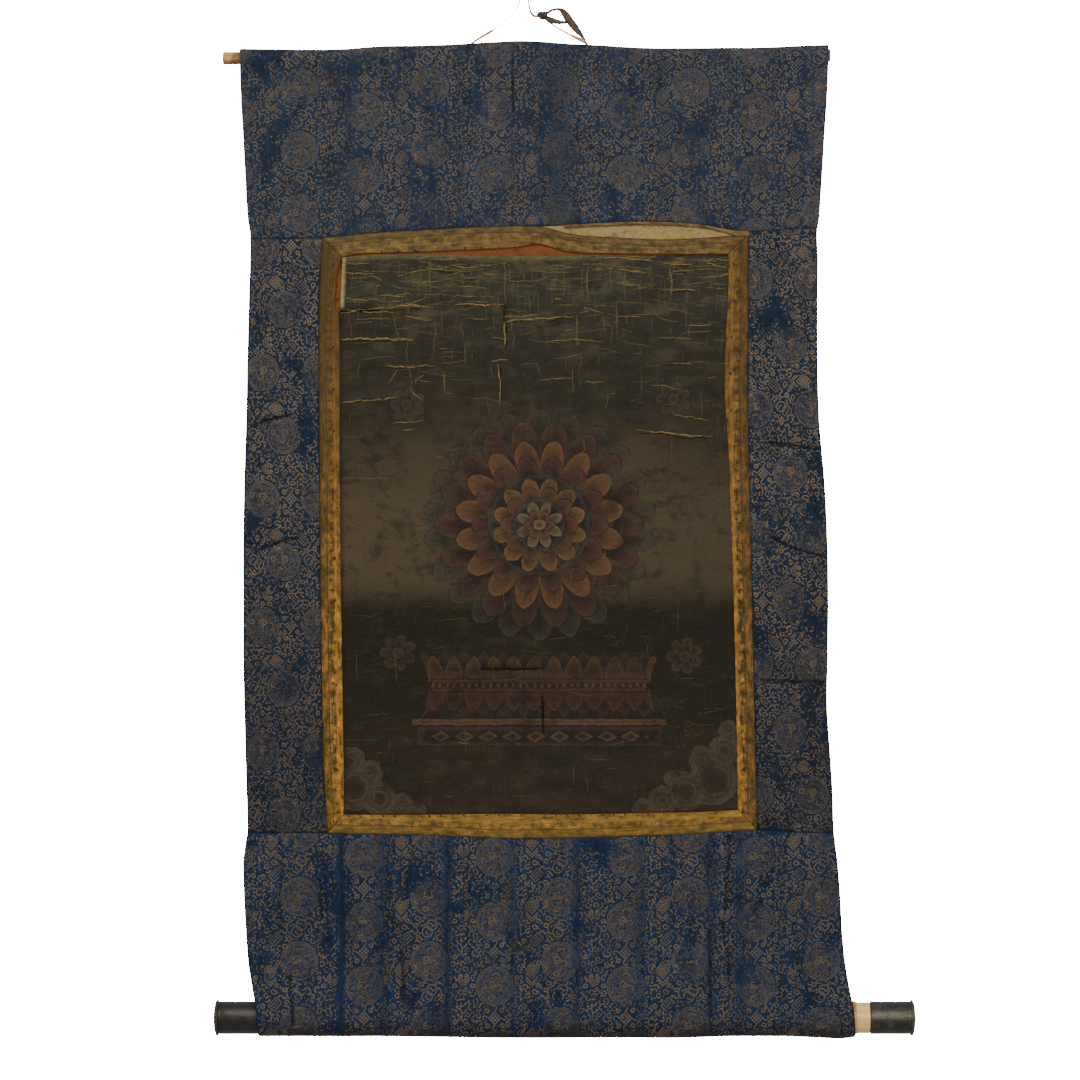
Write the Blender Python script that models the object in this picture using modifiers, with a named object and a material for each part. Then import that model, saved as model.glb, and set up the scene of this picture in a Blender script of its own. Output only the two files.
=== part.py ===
"""Thangka scroll painting: a painted cloth in a brocade mount, with a dowel, a roller and a hanging cord.

Metres, +Z up. The origin is the top of the hanging cord, where it passes over its nail. +X is to the
viewer's right and the painted side faces -Y. Tables give millimetres: x is measured to the right of the
origin, drop is measured down from it, and depth is measured from the rods' axes, towards the back.
"""

import math

import bmesh
import bpy
from mathutils import Vector

MM = 0.001

# Cloth
BROCADE = 1.2          # thickness of the brocade with its paste and paper
SILK = 1.0             # thickness of the border strips
CANVAS = 1.0           # thickness of the painted cotton
BACKING = 1.0          # thickness of the cream cotton and of the red silk behind the joints
LAYER_GAP = 0.5        # air between the front layer and what lies behind it
SEAM_GAP = 0.6         # between two pieces that meet edge to edge

# Rods
DOWEL_DROP = 70.0      # at the origin's x
DOWEL_TILT = 0.0046    # rise to the right for each step across
DOWEL_RADIUS = 7.0
DOWEL_ENDS = (-330.6, 336.6)
ROLLER_DROP = 1125.3
ROLLER_RADIUS = 17.0
ROLLER_ENDS = (-340.5, 429.6)
CAP_RADIUS = 17.9
CAP_LENGTH = 50.0
FLANGE_RADIUS = 19.8
FLANGE_LENGTH = 5.5
TENON_RADIUS = 13.0
TENON_LENGTH = 38.0
SOCKET_CLEARANCE = 0.4
SLEEVE_LINING = 1.0    # thickness of the tan cloth round the roller
SLEEVE_LINING_ENDS = (-289.0, 367.0)

# Sleeves, measured to the middle of the cloth
TOP_SLEEVE_RADIUS = 8.2
ROLLER_SLEEVE_RADIUS = 19.6

# Outline of the cloth: drop, left edge, right edge
OUTLINE = (
    (57.0, -312.0, 334.4),
    (105.0, -311.0, 333.0),
    (160.0, -308.0, 329.7),
    (205.0, -305.8, 327.0),
    (248.0, -303.2, 324.0),
    (264.0, -300.6, 321.6),
    (290.0, -300.4, 322.7),
    (340.0, -302.0, 322.3),
    (404.0, -303.6, 322.3),
    (468.0, -304.7, 324.0),
    (535.0, -306.9, 329.7),
    (600.0, -308.0, 332.8),
    (668.0, -308.0, 333.9),
    (733.0, -308.0, 333.0),
    (780.0, -307.0, 332.2),
    (822.0, -305.8, 334.7),
    (865.0, -304.7, 337.7),
    (918.0, -303.2, 339.6),
    (936.0, -305.8, 341.5),
    (953.0, -307.7, 343.5),
    (990.0, -306.9, 346.5),
    (1030.0, -304.7, 348.7),
    (1063.0, -302.2, 351.8),
    (1092.0, -297.4, 356.5),
    (1112.0, -293.4, 360.3),
    (1145.0, -291.0, 363.0),
)

# Top of the dowel's sleeve and bottom of the roller's sleeve: x, drop
HEADING_TOP = (
    (-312.0, 61.0), (-246.0, 62.0), (-202.0, 61.6), (-158.0, 58.3), (-114.0, 57.5),
    (-70.0, 55.8), (-40.0, 53.9), (-4.0, 52.3), (23.0, 53.4), (51.0, 55.6),
    (84.0, 57.2), (128.0, 59.9), (172.0, 60.8), (216.0, 60.0), (260.0, 59.7),
    (304.0, 57.8), (334.0, 56.7),
)
FOOT_BOTTOM = (
    (-291.0, 1144.8), (-224.0, 1145.6), (-136.0, 1145.7), (-26.0, 1147.3), (106.0, 1147.0),
    (172.0, 1147.2), (238.0, 1145.0), (293.0, 1145.7), (348.0, 1148.0), (363.0, 1146.4),
)

# Seams and edges that run across: x, drop
HEADING_SEAM = (
    (-300.0, 270.6), (-221.0, 268.9), (-189.0, 265.9), (-151.0, 262.9), (-111.0, 260.7),
    (-48.0, 257.4), (19.0, 255.9), (62.0, 254.3), (89.0, 253.0), (128.0, 251.9),
    (167.0, 252.7), (197.0, 255.2), (217.0, 259.1), (237.0, 261.6), (277.0, 260.5),
    (322.0, 257.4),
)
TOP_STRIP_UPPER = (
    (-221.0, 268.9), (-189.0, 265.9), (-151.0, 262.9), (-111.0, 260.7), (-48.0, 257.4),
    (8.0, 256.1), (26.0, 258.3), (46.0, 264.0), (69.0, 267.3), (119.0, 270.2),
    (148.0, 271.4), (178.0, 270.6), (207.0, 268.8), (228.0, 267.2), (246.0, 265.2),
)
TOP_STRIP_LOWER = (
    (-199.0, 290.0), (-189.0, 287.5), (-170.0, 285.8), (-140.0, 285.5), (-101.0, 284.1),
    (-48.0, 281.8), (-23.0, 280.5), (-4.0, 278.3), (18.0, 275.7), (34.0, 280.0),
    (46.0, 283.6), (62.0, 285.6), (109.0, 286.4), (167.0, 286.8), (224.0, 286.8),
)
PAINTING_TOP = (
    (-200.0, 290.4), (-160.0, 288.1), (-101.0, 287.6), (-48.0, 288.9), (50.0, 288.8),
    (128.0, 288.4), (224.0, 287.6),
)
PAINTING_BOTTOM = (
    (-197.0, 900.3), (-135.0, 900.7), (-48.0, 899.9), (40.0, 900.1), (113.0, 899.0),
    (187.0, 897.9), (234.0, 895.7),
)
BOTTOM_STRIP_UPPER_LIFT = -1.0
FOOT_SEAM = (
    (-303.0, 921.5), (-214.0, 922.0), (-157.0, 922.9), (-101.0, 924.3), (-48.0, 926.5),
    (-26.0, 927.7), (40.0, 926.9), (128.0, 924.7), (187.0, 922.5), (224.0, 920.3),
    (255.0, 918.9), (340.0, 922.6),
)

# Edges of the side strips: drop, x
LEFT_STRIP_OUTER = (
    (268.0, -220.8), (295.0, -222.9), (364.0, -225.0), (442.0, -224.8), (535.0, -223.9),
    (623.0, -223.3), (711.0, -222.2), (777.0, -221.1), (855.0, -218.9), (911.0, -215.9),
    (923.0, -215.1),
)
LEFT_STRIP_INNER = (
    (290.0, -199.4), (309.0, -205.4), (326.0, -206.8), (344.0, -207.4), (352.0, -204.0),
    (362.0, -202.7), (462.0, -202.2), (521.0, -202.2), (601.0, -201.3), (689.0, -200.2),
    (804.0, -198.0), (900.0, -196.9),
)
PAINTING_LEFT = (
    (290.0, -199.1), (326.0, -200.8), (345.0, -201.4), (462.0, -201.8), (521.0, -201.8),
    (601.0, -200.9), (689.0, -199.8), (804.0, -197.6), (900.0, -196.5),
)
RIGHT_STRIP_INNER = (
    (287.0, 223.6), (315.0, 224.4), (344.0, 223.1), (404.0, 220.7), (442.0, 220.3),
    (472.0, 222.2), (502.0, 224.4), (535.0, 225.5), (601.0, 227.7), (667.0, 229.9),
    (733.0, 231.6), (821.0, 233.3), (897.0, 234.1),
)
RIGHT_STRIP_OUTER = (
    (262.0, 246.3), (364.0, 246.3), (423.0, 245.3), (482.0, 246.3), (535.0, 247.3),
    (601.0, 248.6), (667.0, 250.3), (733.0, 251.6), (836.0, 254.0), (909.0, 255.4),
    (922.0, 255.9),
)

# Mitres of the border: outer corner and inner corner as x, drop
MITRE_TOP_LEFT = ((-220.9, 268.9), (-199.3, 290.2))
MITRE_TOP_RIGHT = ((246.2, 265.2), (223.8, 287.2))
MITRE_BOTTOM_LEFT = ((-215.1, 922.0), (-196.9, 900.4))
MITRE_BOTTOM_RIGHT = ((255.7, 918.9), (234.0, 895.8))

# The gap where the top strip has come unsewn, and the layers that show there: x of the ends, drops
GAP_ENDS = (24.0, 232.0)
ALLOWANCE_WIDTH = 3.0
BACKING_SIDES = (-214.0, 248.0)
BACKING_TOP_TUCK = 14.0
RED_TOP_DROPS = (274.5, 296.0)
RED_TOP_SIDES = (-190.0, 232.0)
RED_LEFT_DROPS = (284.0, 366.0)
RED_LEFT_SIDES = (-214.0, -194.0)
RED_BOTTOM_DROPS = (890.0, 908.0)
RED_BOTTOM_SIDES = (-206.0, 242.0)

# Depth of the hanging cloth: drop, depth of its middle
HANG_PLANE = (
    (70.0, -8.2), (80.0, -7.6), (100.0, -5.2), (140.0, -4.5), (500.0, -6.5), (900.0, -9.5),
    (1040.0, -12.0), (1085.0, -15.6), (1112.0, -19.0), (1125.3, -19.6), (1150.0, -19.6),
)
# Broad waves of the cloth: height, length across, length down, phase in turns
WAVES = (
    (1.7, 236.0, 2600.0, 0.06),
    (1.0, 127.0, -900.0, 0.31),
    (0.8, 310.0, 420.0, 0.44),
    (0.6, 5000.0, 172.0, 0.10),
)
# Main creases: start x, start drop, end x, end drop, half width, depth (+ to the back)
CREASES = (
    (264.0, 918.0, 267.0, 1112.0, 12.0, 5.0),
    (244.0, 960.0, 246.0, 1108.0, 12.0, -2.6),
    (-254.0, 1040.0, -252.0, 1128.0, 10.0, 3.6),
    (-138.0, 1030.0, -134.0, 1120.0, 11.0, 3.2),
    (-222.0, 960.0, -225.0, 1046.0, 12.0, 2.6),
    (-12.0, 60.0, -10.0, 150.0, 11.0, 2.4),
    (70.0, 150.0, 66.0, 252.0, 22.0, -2.4),
    (-290.0, 608.0, -224.0, 592.0, 14.0, 2.6),
    (272.0, 488.0, 322.0, 503.0, 14.0, 2.4),
    (258.0, 728.0, 326.0, 738.0, 15.0, -2.2),
    (-205.0, 350.0, -130.0, 342.0, 16.0, -1.8),
    (-70.0, 741.0, 30.0, 743.0, 18.0, -2.0),
)
EDGE_CURL = 2.6
EDGE_CURL_WIDTH = 26.0
CALM_TOP = (84.0, 130.0)       # folds grow from none to full between these drops
CALM_BOTTOM = (1116.0, 1070.0)

# Hem paths behind the rods: drop from the rod's axis, least depth. The hem's end lies on the front cloth.
TOP_HEM = ((36.0, -20.0), (25.0, -20.0), (15.0, 4.6), (7.0, 7.2))
BOTTOM_HEM = ((-12.0, 17.6), (-26.0, 10.0), (-44.0, -30.0), (-60.0, -30.0))
HEM_STANDOFF = 2.2
HEM_INSET = 1.5
TOP_ARC_STEPS = 8
BOTTOM_ARC_STEPS = 10

# Hanging cord, from its hole in the heading over the nail to the knot: x, drop, depth, radius.
# The top of the loop is the origin.
CORD_ROUTE = (
    (-54.4, 53.1, 0.0, 1.4), (-46.0, 47.8, 0.0, 1.4), (-34.4, 41.0, -0.3, 1.2),
    (-25.0, 34.2, -0.5, 1.0), (-16.6, 27.0, -0.6, 0.9), (-9.8, 19.2, -0.4, 0.9),
    (-6.0, 12.6, -0.2, 0.8), (-4.7, 7.8, 0.0, 0.8), (-4.2, 4.2, 0.2, 0.8), (-2.6, 1.2, 0.2, 0.8),
    (0.0, 0.0, 0.2, 0.8), (2.7, 1.2, 0.2, 0.8), (4.4, 4.4, 0.2, 0.8), (5.0, 8.8, 0.0, 0.8),
    (6.0, 16.0, -0.3, 0.9), (7.8, 21.6, -0.4, 1.0), (10.6, 25.0, -0.4, 1.1), (14.3, 25.4, -0.4, 1.2),
)
KNOT_CENTRE = (20.0, 24.4, -0.4)
KNOT_HALF = (5.5, 4.6, 3.8)
# Leather and thong: x, drop, depth, turn of the flat side away from the viewer in degrees, width
RIBBON_THICKNESS = 1.1
RIBBON_ROUTE = (
    (25.1, 22.0, -0.8, 55.0, 4.5), (30.6, 19.2, -1.6, 70.0, 6.0), (37.4, 18.0, -2.4, 75.0, 8.4),
    (42.0, 19.9, -2.8, 60.0, 8.8), (45.8, 24.3, -2.8, 26.0, 8.8), (49.4, 29.7, -2.4, 0.0, 8.8),
    (55.0, 36.6, -1.6, 0.0, 8.3), (59.2, 41.9, -1.0, 6.0, 7.0), (64.2, 47.8, 0.4, 20.0, 4.2),
    (68.4, 55.3, 1.4, 40.0, 3.4),
)
TAIL_ROUTE = (
    (24.7, 26.8, 0.8, 20.0, 3.6), (31.8, 30.6, 0.8, 0.0, 4.6), (38.0, 31.9, 0.2, 0.0, 3.8),
    (43.0, 32.3, -0.6, 0.0, 2.8), (46.4, 32.3, -1.0, 0.0, 2.2),
)
THONG_ROUTE = (
    (23.2, 28.2, 1.8, 30.0, 1.7), (33.6, 35.8, 3.2, 30.0, 1.7), (41.8, 40.8, 2.2, 20.0, 1.8),
    (51.0, 45.8, 0.8, 10.0, 2.2), (58.6, 49.8, -0.6, 0.0, 3.4), (63.7, 52.2, -1.5, 0.0, 4.2),
    (67.9, 54.8, -1.8, 0.0, 3.2),
)


def smooth(table, at, column=1):
    """Value of a table's column at a place along its first column, on a smooth curve through the rows."""
    last = len(table) - 1
    at = min(max(at, table[0][0]), table[last][0])
    i = max(k for k in range(last) if table[k][0] <= at)

    def slope(k):
        before, after = table[max(k - 1, 0)], table[min(k + 1, last)]
        return (after[column] - before[column]) / (after[0] - before[0])

    step = table[i + 1][0] - table[i][0]
    s = (at - table[i][0]) / step
    return (
        table[i][column] * (2 * s**3 - 3 * s**2 + 1)
        + slope(i) * step * (s**3 - 2 * s**2 + s)
        + table[i + 1][column] * (3 * s**2 - 2 * s**3)
        + slope(i + 1) * step * (s**3 - s**2)
    )


def rise(value, low, high):
    """0 up to low, 1 from high, and a soft step between them; low may be above high."""
    s = min(max((value - low) / (high - low), 0.0), 1.0)
    return s * s * (3 - 2 * s)


def left_edge(drop):
    return smooth(OUTLINE, drop, 1)


def right_edge(drop):
    return smooth(OUTLINE, drop, 2)


def dowel_drop(x):
    return DOWEL_DROP - DOWEL_TILT * x


def crease_depth(x, drop, crease):
    """Depth that one crease adds at a point: a soft trough or ridge that fades at both ends."""
    x0, drop0, x1, drop1, half_width, depth = crease
    run = Vector((x1 - x0, drop1 - drop0))
    away = Vector((x - x0, drop - drop0))
    share = min(max(away.dot(run) / run.length_squared, 0.0), 1.0)
    distance = (away - run * share).length
    return depth * math.exp(-((distance / half_width) ** 2))


def relief(x, drop):
    """Depth of the middle of the hanging cloth."""
    calm = rise(drop, *CALM_TOP) * rise(drop, *CALM_BOTTOM)
    folds = sum(
        height * math.sin(2 * math.pi * (x / across + drop / down + phase))
        for height, across, down, phase in WAVES
    )
    folds += sum(crease_depth(x, drop, crease) for crease in CREASES)
    inside = min(x - left_edge(drop), right_edge(drop) - x)
    folds += EDGE_CURL * rise(inside, EDGE_CURL_WIDTH, 0.0)
    return smooth(HANG_PLANE, drop) + calm * folds


def point(x, drop, depth):
    return Vector((x, depth, -drop)) * MM


def patch_place(left, right, upper, lower, behind=0.0):
    """Where a share across and down a piece of cloth lies, between its four edges."""

    def place(across, down):
        x, drop = 0.0, 0.5 * (upper(0.0) + lower(0.0))
        for _ in range(8):
            x = left(drop) * (1 - across) + right(drop) * across
            drop = upper(x) * (1 - down) + lower(x) * down
        return point(x, drop, relief(x, drop) + behind)

    return place


def mitre_line(mitre, along, shift=0.0):
    """The mitre as a function: x for a drop (along 0) or drop for an x (along 1)."""
    (outer, inner) = mitre
    given, wanted = (1, 0) if along == 0 else (0, 1)
    rate = (inner[wanted] - outer[wanted]) / (inner[given] - outer[given])
    return lambda value: outer[wanted] + (value - outer[given]) * rate + shift


def edge(table, shift=0.0):
    return lambda value: smooth(table, value) + shift


def constant(value):
    return lambda _: value


def material(name, colour, roughness, metallic=0.0):
    made = bpy.data.materials.new(name)
    made.use_nodes = True
    shader = made.node_tree.nodes["Principled BSDF"]
    shader.inputs["Base Color"].default_value = (*colour, 1.0)
    shader.inputs["Roughness"].default_value = roughness
    shader.inputs["Metallic"].default_value = metallic
    return made


def add_object(name, mesh, surface, collection):
    made = bpy.data.objects.new(name, mesh)
    mesh.materials.append(surface)
    collection.objects.link(made)
    return made


def add_sheet(name, across, down, place, thickness, surface, collection):
    """A sheet of cloth from lists of the shares across and down at which it has its points."""
    bm = bmesh.new()
    bmesh.ops.create_grid(bm, x_segments=len(across) - 1, y_segments=len(down) - 1, size=0.5)
    for vertex in bm.verts:
        column = round((vertex.co.x + 0.5) * (len(across) - 1))
        row = round((0.5 - vertex.co.y) * (len(down) - 1))
        vertex.co = place(across[column], down[row])
    mesh = bpy.data.meshes.new(name)
    bm.to_mesh(mesh)
    bm.free()
    made = add_object(name, mesh, surface, collection)
    wall = made.modifiers.new("cloth thickness", "SOLIDIFY")
    wall.thickness = thickness * MM
    wall.offset = 0.0
    wall.use_even_offset = True
    made.data.shade_smooth()
    return made


def shares(count, extra=()):
    """Even shares from 0 to 1, with extra ones in place of the even ones that lie too close."""
    even = [k / count for k in range(count + 1)]
    kept = [s for s in even if s in (0.0, 1.0) or all(abs(s - e) > 0.35 / count for e in extra)]
    return sorted(kept + list(extra))


def crease_columns(low, high, drop, left, right):
    """Shares across a panel at the creases that run down it between two drops."""
    found = []
    for x0, drop0, x1, drop1, half_width, _ in CREASES:
        if abs(drop1 - drop0) > abs(x1 - x0) and low <= drop0 <= high:
            middle = 0.5 * (x0 + x1)
            for offset in (-half_width, 0.0, half_width):
                found.append((middle + offset - left(drop)) / (right(drop) - left(drop)))
    return sorted(found)


def hem_point(across, axis, away, least_depth):
    """A place on a hem behind a rod; where its least depth is far in front it lies on the front cloth."""
    drop = axis + away
    left, right = left_edge(drop) + HEM_INSET, right_edge(drop) - HEM_INSET
    x = left * (1 - across) + right * across
    return point(x, drop, max(least_depth, relief(x, drop) + HEM_STANDOFF))


def add_heading(surface, collection):
    """Brocade heading: up from the hem behind the dowel, over it, and down the front to the seam."""
    front_rows = 8
    hem_rows = len(TOP_HEM)
    total = hem_rows + TOP_ARC_STEPS + front_rows
    front = patch_place(
        lambda drop: left_edge(drop),
        lambda drop: right_edge(drop),
        dowel_drop,
        edge(HEADING_SEAM, -SEAM_GAP / 2),
    )

    def place(across, down):
        row = round(down * total)
        if row >= hem_rows + TOP_ARC_STEPS:
            return front(across, (row - hem_rows - TOP_ARC_STEPS) / front_rows)
        x = left_edge(DOWEL_DROP) * (1 - across) + right_edge(DOWEL_DROP) * across
        axis = dowel_drop(x)
        if row < hem_rows:
            return hem_point(across, axis, *TOP_HEM[row])
        turn = math.pi * (row - hem_rows) / TOP_ARC_STEPS
        height = max(axis - smooth(HEADING_TOP, x) - BROCADE / 2, TOP_SLEEVE_RADIUS)
        return point(x, axis - height * math.sin(turn), TOP_SLEEVE_RADIUS * math.cos(turn))

    columns = shares(25, crease_columns(60.0, 260.0, 100.0, left_edge, right_edge))
    rows = [k / total for k in range(total + 1)]
    return add_sheet("top_panel", columns, rows, place, BROCADE, surface, collection)


def add_foot(surface, collection):
    """Brocade foot: down the front from the seam, round the roller, and up to the hem behind it."""
    front_rows = 8
    hem_rows = len(BOTTOM_HEM)
    total = front_rows + BOTTOM_ARC_STEPS + hem_rows
    front = patch_place(
        left_edge, right_edge, edge(FOOT_SEAM, SEAM_GAP / 2), constant(ROLLER_DROP)
    )

    def place(across, down):
        row = round(down * total)
        if row <= front_rows:
            return front(across, row / front_rows)
        x = left_edge(ROLLER_DROP) * (1 - across) + right_edge(ROLLER_DROP) * across
        if row > front_rows + BOTTOM_ARC_STEPS:
            return hem_point(across, ROLLER_DROP, *BOTTOM_HEM[row - front_rows - BOTTOM_ARC_STEPS - 1])
        turn = math.pi * (row - front_rows) / BOTTOM_ARC_STEPS
        height = max(smooth(FOOT_BOTTOM, x) - ROLLER_DROP - BROCADE / 2, ROLLER_SLEEVE_RADIUS)
        return point(
            x, ROLLER_DROP + height * math.sin(turn), -ROLLER_SLEEVE_RADIUS * math.cos(turn)
        )

    columns = shares(25, crease_columns(910.0, 1050.0, 1060.0, left_edge, right_edge))
    rows = [k / total for k in range(total + 1)]
    return add_sheet("bottom_panel", columns, rows, place, BROCADE, surface, collection)


def add_side_panels(surface, collection):
    half = SEAM_GAP / 2
    upper, lower = edge(HEADING_SEAM, half), edge(FOOT_SEAM, -half)
    left = patch_place(left_edge, edge(LEFT_STRIP_OUTER, -half), upper, lower)
    right = patch_place(edge(RIGHT_STRIP_OUTER, half), right_edge, upper, lower)
    for name, place in (("left_panel", left), ("right_panel", right)):
        add_sheet(name, shares(3), shares(26), place, BROCADE, surface, collection)


def add_borders(surface, collection):
    """Four strips with mitred ends, which meet at the corners."""
    half = SEAM_GAP / 2
    top = patch_place(
        mitre_line(MITRE_TOP_LEFT, 0, half),
        mitre_line(MITRE_TOP_RIGHT, 0, -half),
        edge(TOP_STRIP_UPPER, half),
        edge(TOP_STRIP_LOWER, -half),
    )
    bottom = patch_place(
        mitre_line(MITRE_BOTTOM_LEFT, 0, half),
        mitre_line(MITRE_BOTTOM_RIGHT, 0, -half),
        edge(PAINTING_BOTTOM, half - BOTTOM_STRIP_UPPER_LIFT),
        edge(FOOT_SEAM, -half),
    )
    left = patch_place(
        edge(LEFT_STRIP_OUTER, half),
        edge(LEFT_STRIP_INNER, -half),
        mitre_line(MITRE_TOP_LEFT, 1, half),
        mitre_line(MITRE_BOTTOM_LEFT, 1, -half),
    )
    right = patch_place(
        edge(RIGHT_STRIP_INNER, half),
        edge(RIGHT_STRIP_OUTER, -half),
        mitre_line(MITRE_TOP_RIGHT, 1, half),
        mitre_line(MITRE_BOTTOM_RIGHT, 1, -half),
    )
    add_sheet("border_top", shares(26), shares(1), top, SILK, surface, collection)
    add_sheet("border_bottom", shares(20), shares(1), bottom, SILK, surface, collection)
    add_sheet("border_left", shares(1), shares(28), left, SILK, surface, collection)
    add_sheet("border_right", shares(1), shares(28), right, SILK, surface, collection)


def add_painting(surface, collection):
    half = SEAM_GAP / 2
    place = patch_place(
        edge(PAINTING_LEFT, half),
        edge(RIGHT_STRIP_INNER, -half),
        edge(PAINTING_TOP, half),
        edge(PAINTING_BOTTOM, -half),
    )
    add_sheet("painting", shares(17), shares(24), place, CANVAS, surface, collection)


def add_layers_behind(cream, red, gold, collection):
    """Cream cotton, red silk and the leftover sliver of gold that show through the open joints."""
    behind = BROCADE / 2 + LAYER_GAP + BACKING / 2 + 0.3
    half = SEAM_GAP / 2
    backing = patch_place(
        constant(BACKING_SIDES[0]),
        constant(BACKING_SIDES[1]),
        edge(HEADING_SEAM, -BACKING_TOP_TUCK),
        constant(RED_TOP_DROPS[0] - half),
        behind,
    )
    add_sheet("backing_cloth", shares(24), shares(1), backing, BACKING, cream, collection)
    for name, sides, drops, columns, rows in (
        ("red_strip_top", RED_TOP_SIDES, RED_TOP_DROPS, 22, 1),
        ("red_strip_left", RED_LEFT_SIDES, RED_LEFT_DROPS, 1, 4),
        ("red_strip_bottom", RED_BOTTOM_SIDES, RED_BOTTOM_DROPS, 20, 1),
    ):
        place = patch_place(*(constant(value) for value in (*sides, *drops)), behind)
        add_sheet(name, shares(columns), shares(rows), place, BACKING, red, collection)
    allowance = patch_place(
        constant(GAP_ENDS[0] + 20.0),
        constant(GAP_ENDS[1] - 14.0),
        edge(HEADING_SEAM, half),
        edge(HEADING_SEAM, half + ALLOWANCE_WIDTH),
    )
    add_sheet("seam_allowance", shares(12), shares(1), allowance, SILK, gold, collection)


def add_turned(name, profile, drop, sides, surface, collection):
    """A solid turned about the X axis from a closed profile of x, radius rows that starts and ends on the axis."""
    mesh = bpy.data.meshes.new(name)
    mesh.from_pydata([(x * MM, 0.0, radius * MM) for x, radius in profile],
                     [(k, k + 1) for k in range(len(profile) - 1)], [])
    made = add_object(name, mesh, surface, collection)
    made.location = (0.0, 0.0, -drop * MM)
    turn = made.modifiers.new("turned", "SCREW")
    turn.axis = "X"
    turn.steps = turn.render_steps = sides
    turn.use_merge_vertices = True
    turn.merge_threshold = 0.00001
    return made


def add_rods(dowel_wood, roller_wood, lacquer, tan, collection):
    left, right = DOWEL_ENDS
    worn = 0.8
    dowel = (
        (right, 0.0), (right, DOWEL_RADIUS - worn), (right - worn, DOWEL_RADIUS),
        (left + worn, DOWEL_RADIUS), (left, DOWEL_RADIUS - worn), (left, 0.0),
    )
    stick = add_turned("top_dowel", dowel, DOWEL_DROP, 16, dowel_wood, collection)
    stick.rotation_euler = (0.0, -math.atan(DOWEL_TILT), 0.0)

    left, right = ROLLER_ENDS
    gap = SOCKET_CLEARANCE
    left_shoulder, right_shoulder = left + CAP_LENGTH + gap, right - CAP_LENGTH - gap
    roller = (
        (right_shoulder + TENON_LENGTH, 0.0), (right_shoulder + TENON_LENGTH, TENON_RADIUS),
        (right_shoulder, TENON_RADIUS), (right_shoulder, ROLLER_RADIUS),
        (left_shoulder, ROLLER_RADIUS), (left_shoulder, TENON_RADIUS),
        (left_shoulder - TENON_LENGTH, TENON_RADIUS), (left_shoulder - TENON_LENGTH, 0.0),
    )
    add_turned("roller", roller, ROLLER_DROP, 24, roller_wood, collection)

    socket_depth = TENON_LENGTH + 2 * gap
    # distance from the cap's outer end, radius; from the domed end round to the bottom of the socket
    cap = (
        (0.0, 0.0), (0.4, 10.0), (1.2, 15.5), (2.4, 18.6), (3.6, FLANGE_RADIUS),
        (FLANGE_LENGTH, FLANGE_RADIUS - 0.2), (FLANGE_LENGTH + 0.9, CAP_RADIUS),
        (CAP_LENGTH, CAP_RADIUS), (CAP_LENGTH, TENON_RADIUS + gap),
        (CAP_LENGTH - socket_depth, TENON_RADIUS + gap), (CAP_LENGTH - socket_depth, 0.0),
    )
    left_cap = [(left + along, radius) for along, radius in reversed(cap)]
    right_cap = [(right - along, radius) for along, radius in cap]
    add_turned("cap_left", left_cap, ROLLER_DROP, 24, lacquer, collection)
    add_turned("cap_right", right_cap, ROLLER_DROP, 24, lacquer, collection)

    inner = ROLLER_RADIUS + 0.3
    outer = inner + SLEEVE_LINING
    left, right = SLEEVE_LINING_ENDS
    ring = ((right, inner), (right, outer), (left, outer), (left, inner), (right, inner))
    add_turned("sleeve_lining", ring, ROLLER_DROP, 24, tan, collection)


def route_points(route, count):
    """Points spread along a smooth curve through the rows of a route."""
    places = [0.0]
    for before, after in zip(route, route[1:]):
        places.append(places[-1] + (Vector(after[:3]) - Vector(before[:3])).length)
    tables = [[(s, row[k]) for s, row in zip(places, route)] for k in range(len(route[0]))]
    spread = [places[-1] * k / (count - 1) for k in range(count)]
    return [[smooth(table, s) for table in tables] for s in spread]


def add_cord(surface, collection):
    curve = bpy.data.curves.new("hanging_cord", "CURVE")
    curve.dimensions = "3D"
    curve.bevel_depth = MM
    curve.bevel_resolution = 2
    curve.use_fill_caps = True
    points = route_points(CORD_ROUTE, 44)
    spline = curve.splines.new("POLY")
    spline.points.add(len(points) - 1)
    for target, (x, drop, depth, radius) in zip(spline.points, points):
        target.co = (*point(x, drop, depth), 1.0)
        target.radius = radius
    curve.materials.append(surface)
    collection.objects.link(bpy.data.objects.new("hanging_cord", curve))


def add_ribbon(name, route, count, surface, collection):
    """A flat strip along a route, with the turn and the width that its rows give."""
    stations = route_points(route, count)
    places = [point(*station[:3]) for station in stations]

    def place(across, down):
        row = round(down * (count - 1))
        ahead = places[min(row + 1, count - 1)] - places[max(row - 1, 0)]
        sideways = Vector((0.0, -1.0, 0.0)).cross(ahead.normalized()).normalized()
        turn = math.radians(stations[row][3])
        flat = sideways * math.cos(turn) + Vector((0.0, 1.0, 0.0)) * math.sin(turn)
        return places[row] + flat * (across - 0.5) * stations[row][4] * MM

    rows = [k / (count - 1) for k in range(count)]
    return add_sheet(name, shares(2), rows, place, RIBBON_THICKNESS, surface, collection)


def add_knot(surface, collection):
    bm = bmesh.new()
    bmesh.ops.create_uvsphere(bm, u_segments=12, v_segments=8, radius=1.0)
    half_x, half_drop, half_depth = KNOT_HALF
    for vertex in bm.verts:
        vertex.co = Vector(
            (vertex.co.x * half_x, vertex.co.y * half_depth, vertex.co.z * half_drop)
        ) * MM
    mesh = bpy.data.meshes.new("knot")
    bm.to_mesh(mesh)
    bm.free()
    made = add_object("knot", mesh, surface, collection)
    made.location = point(*KNOT_CENTRE)
    made.data.shade_smooth()


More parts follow.
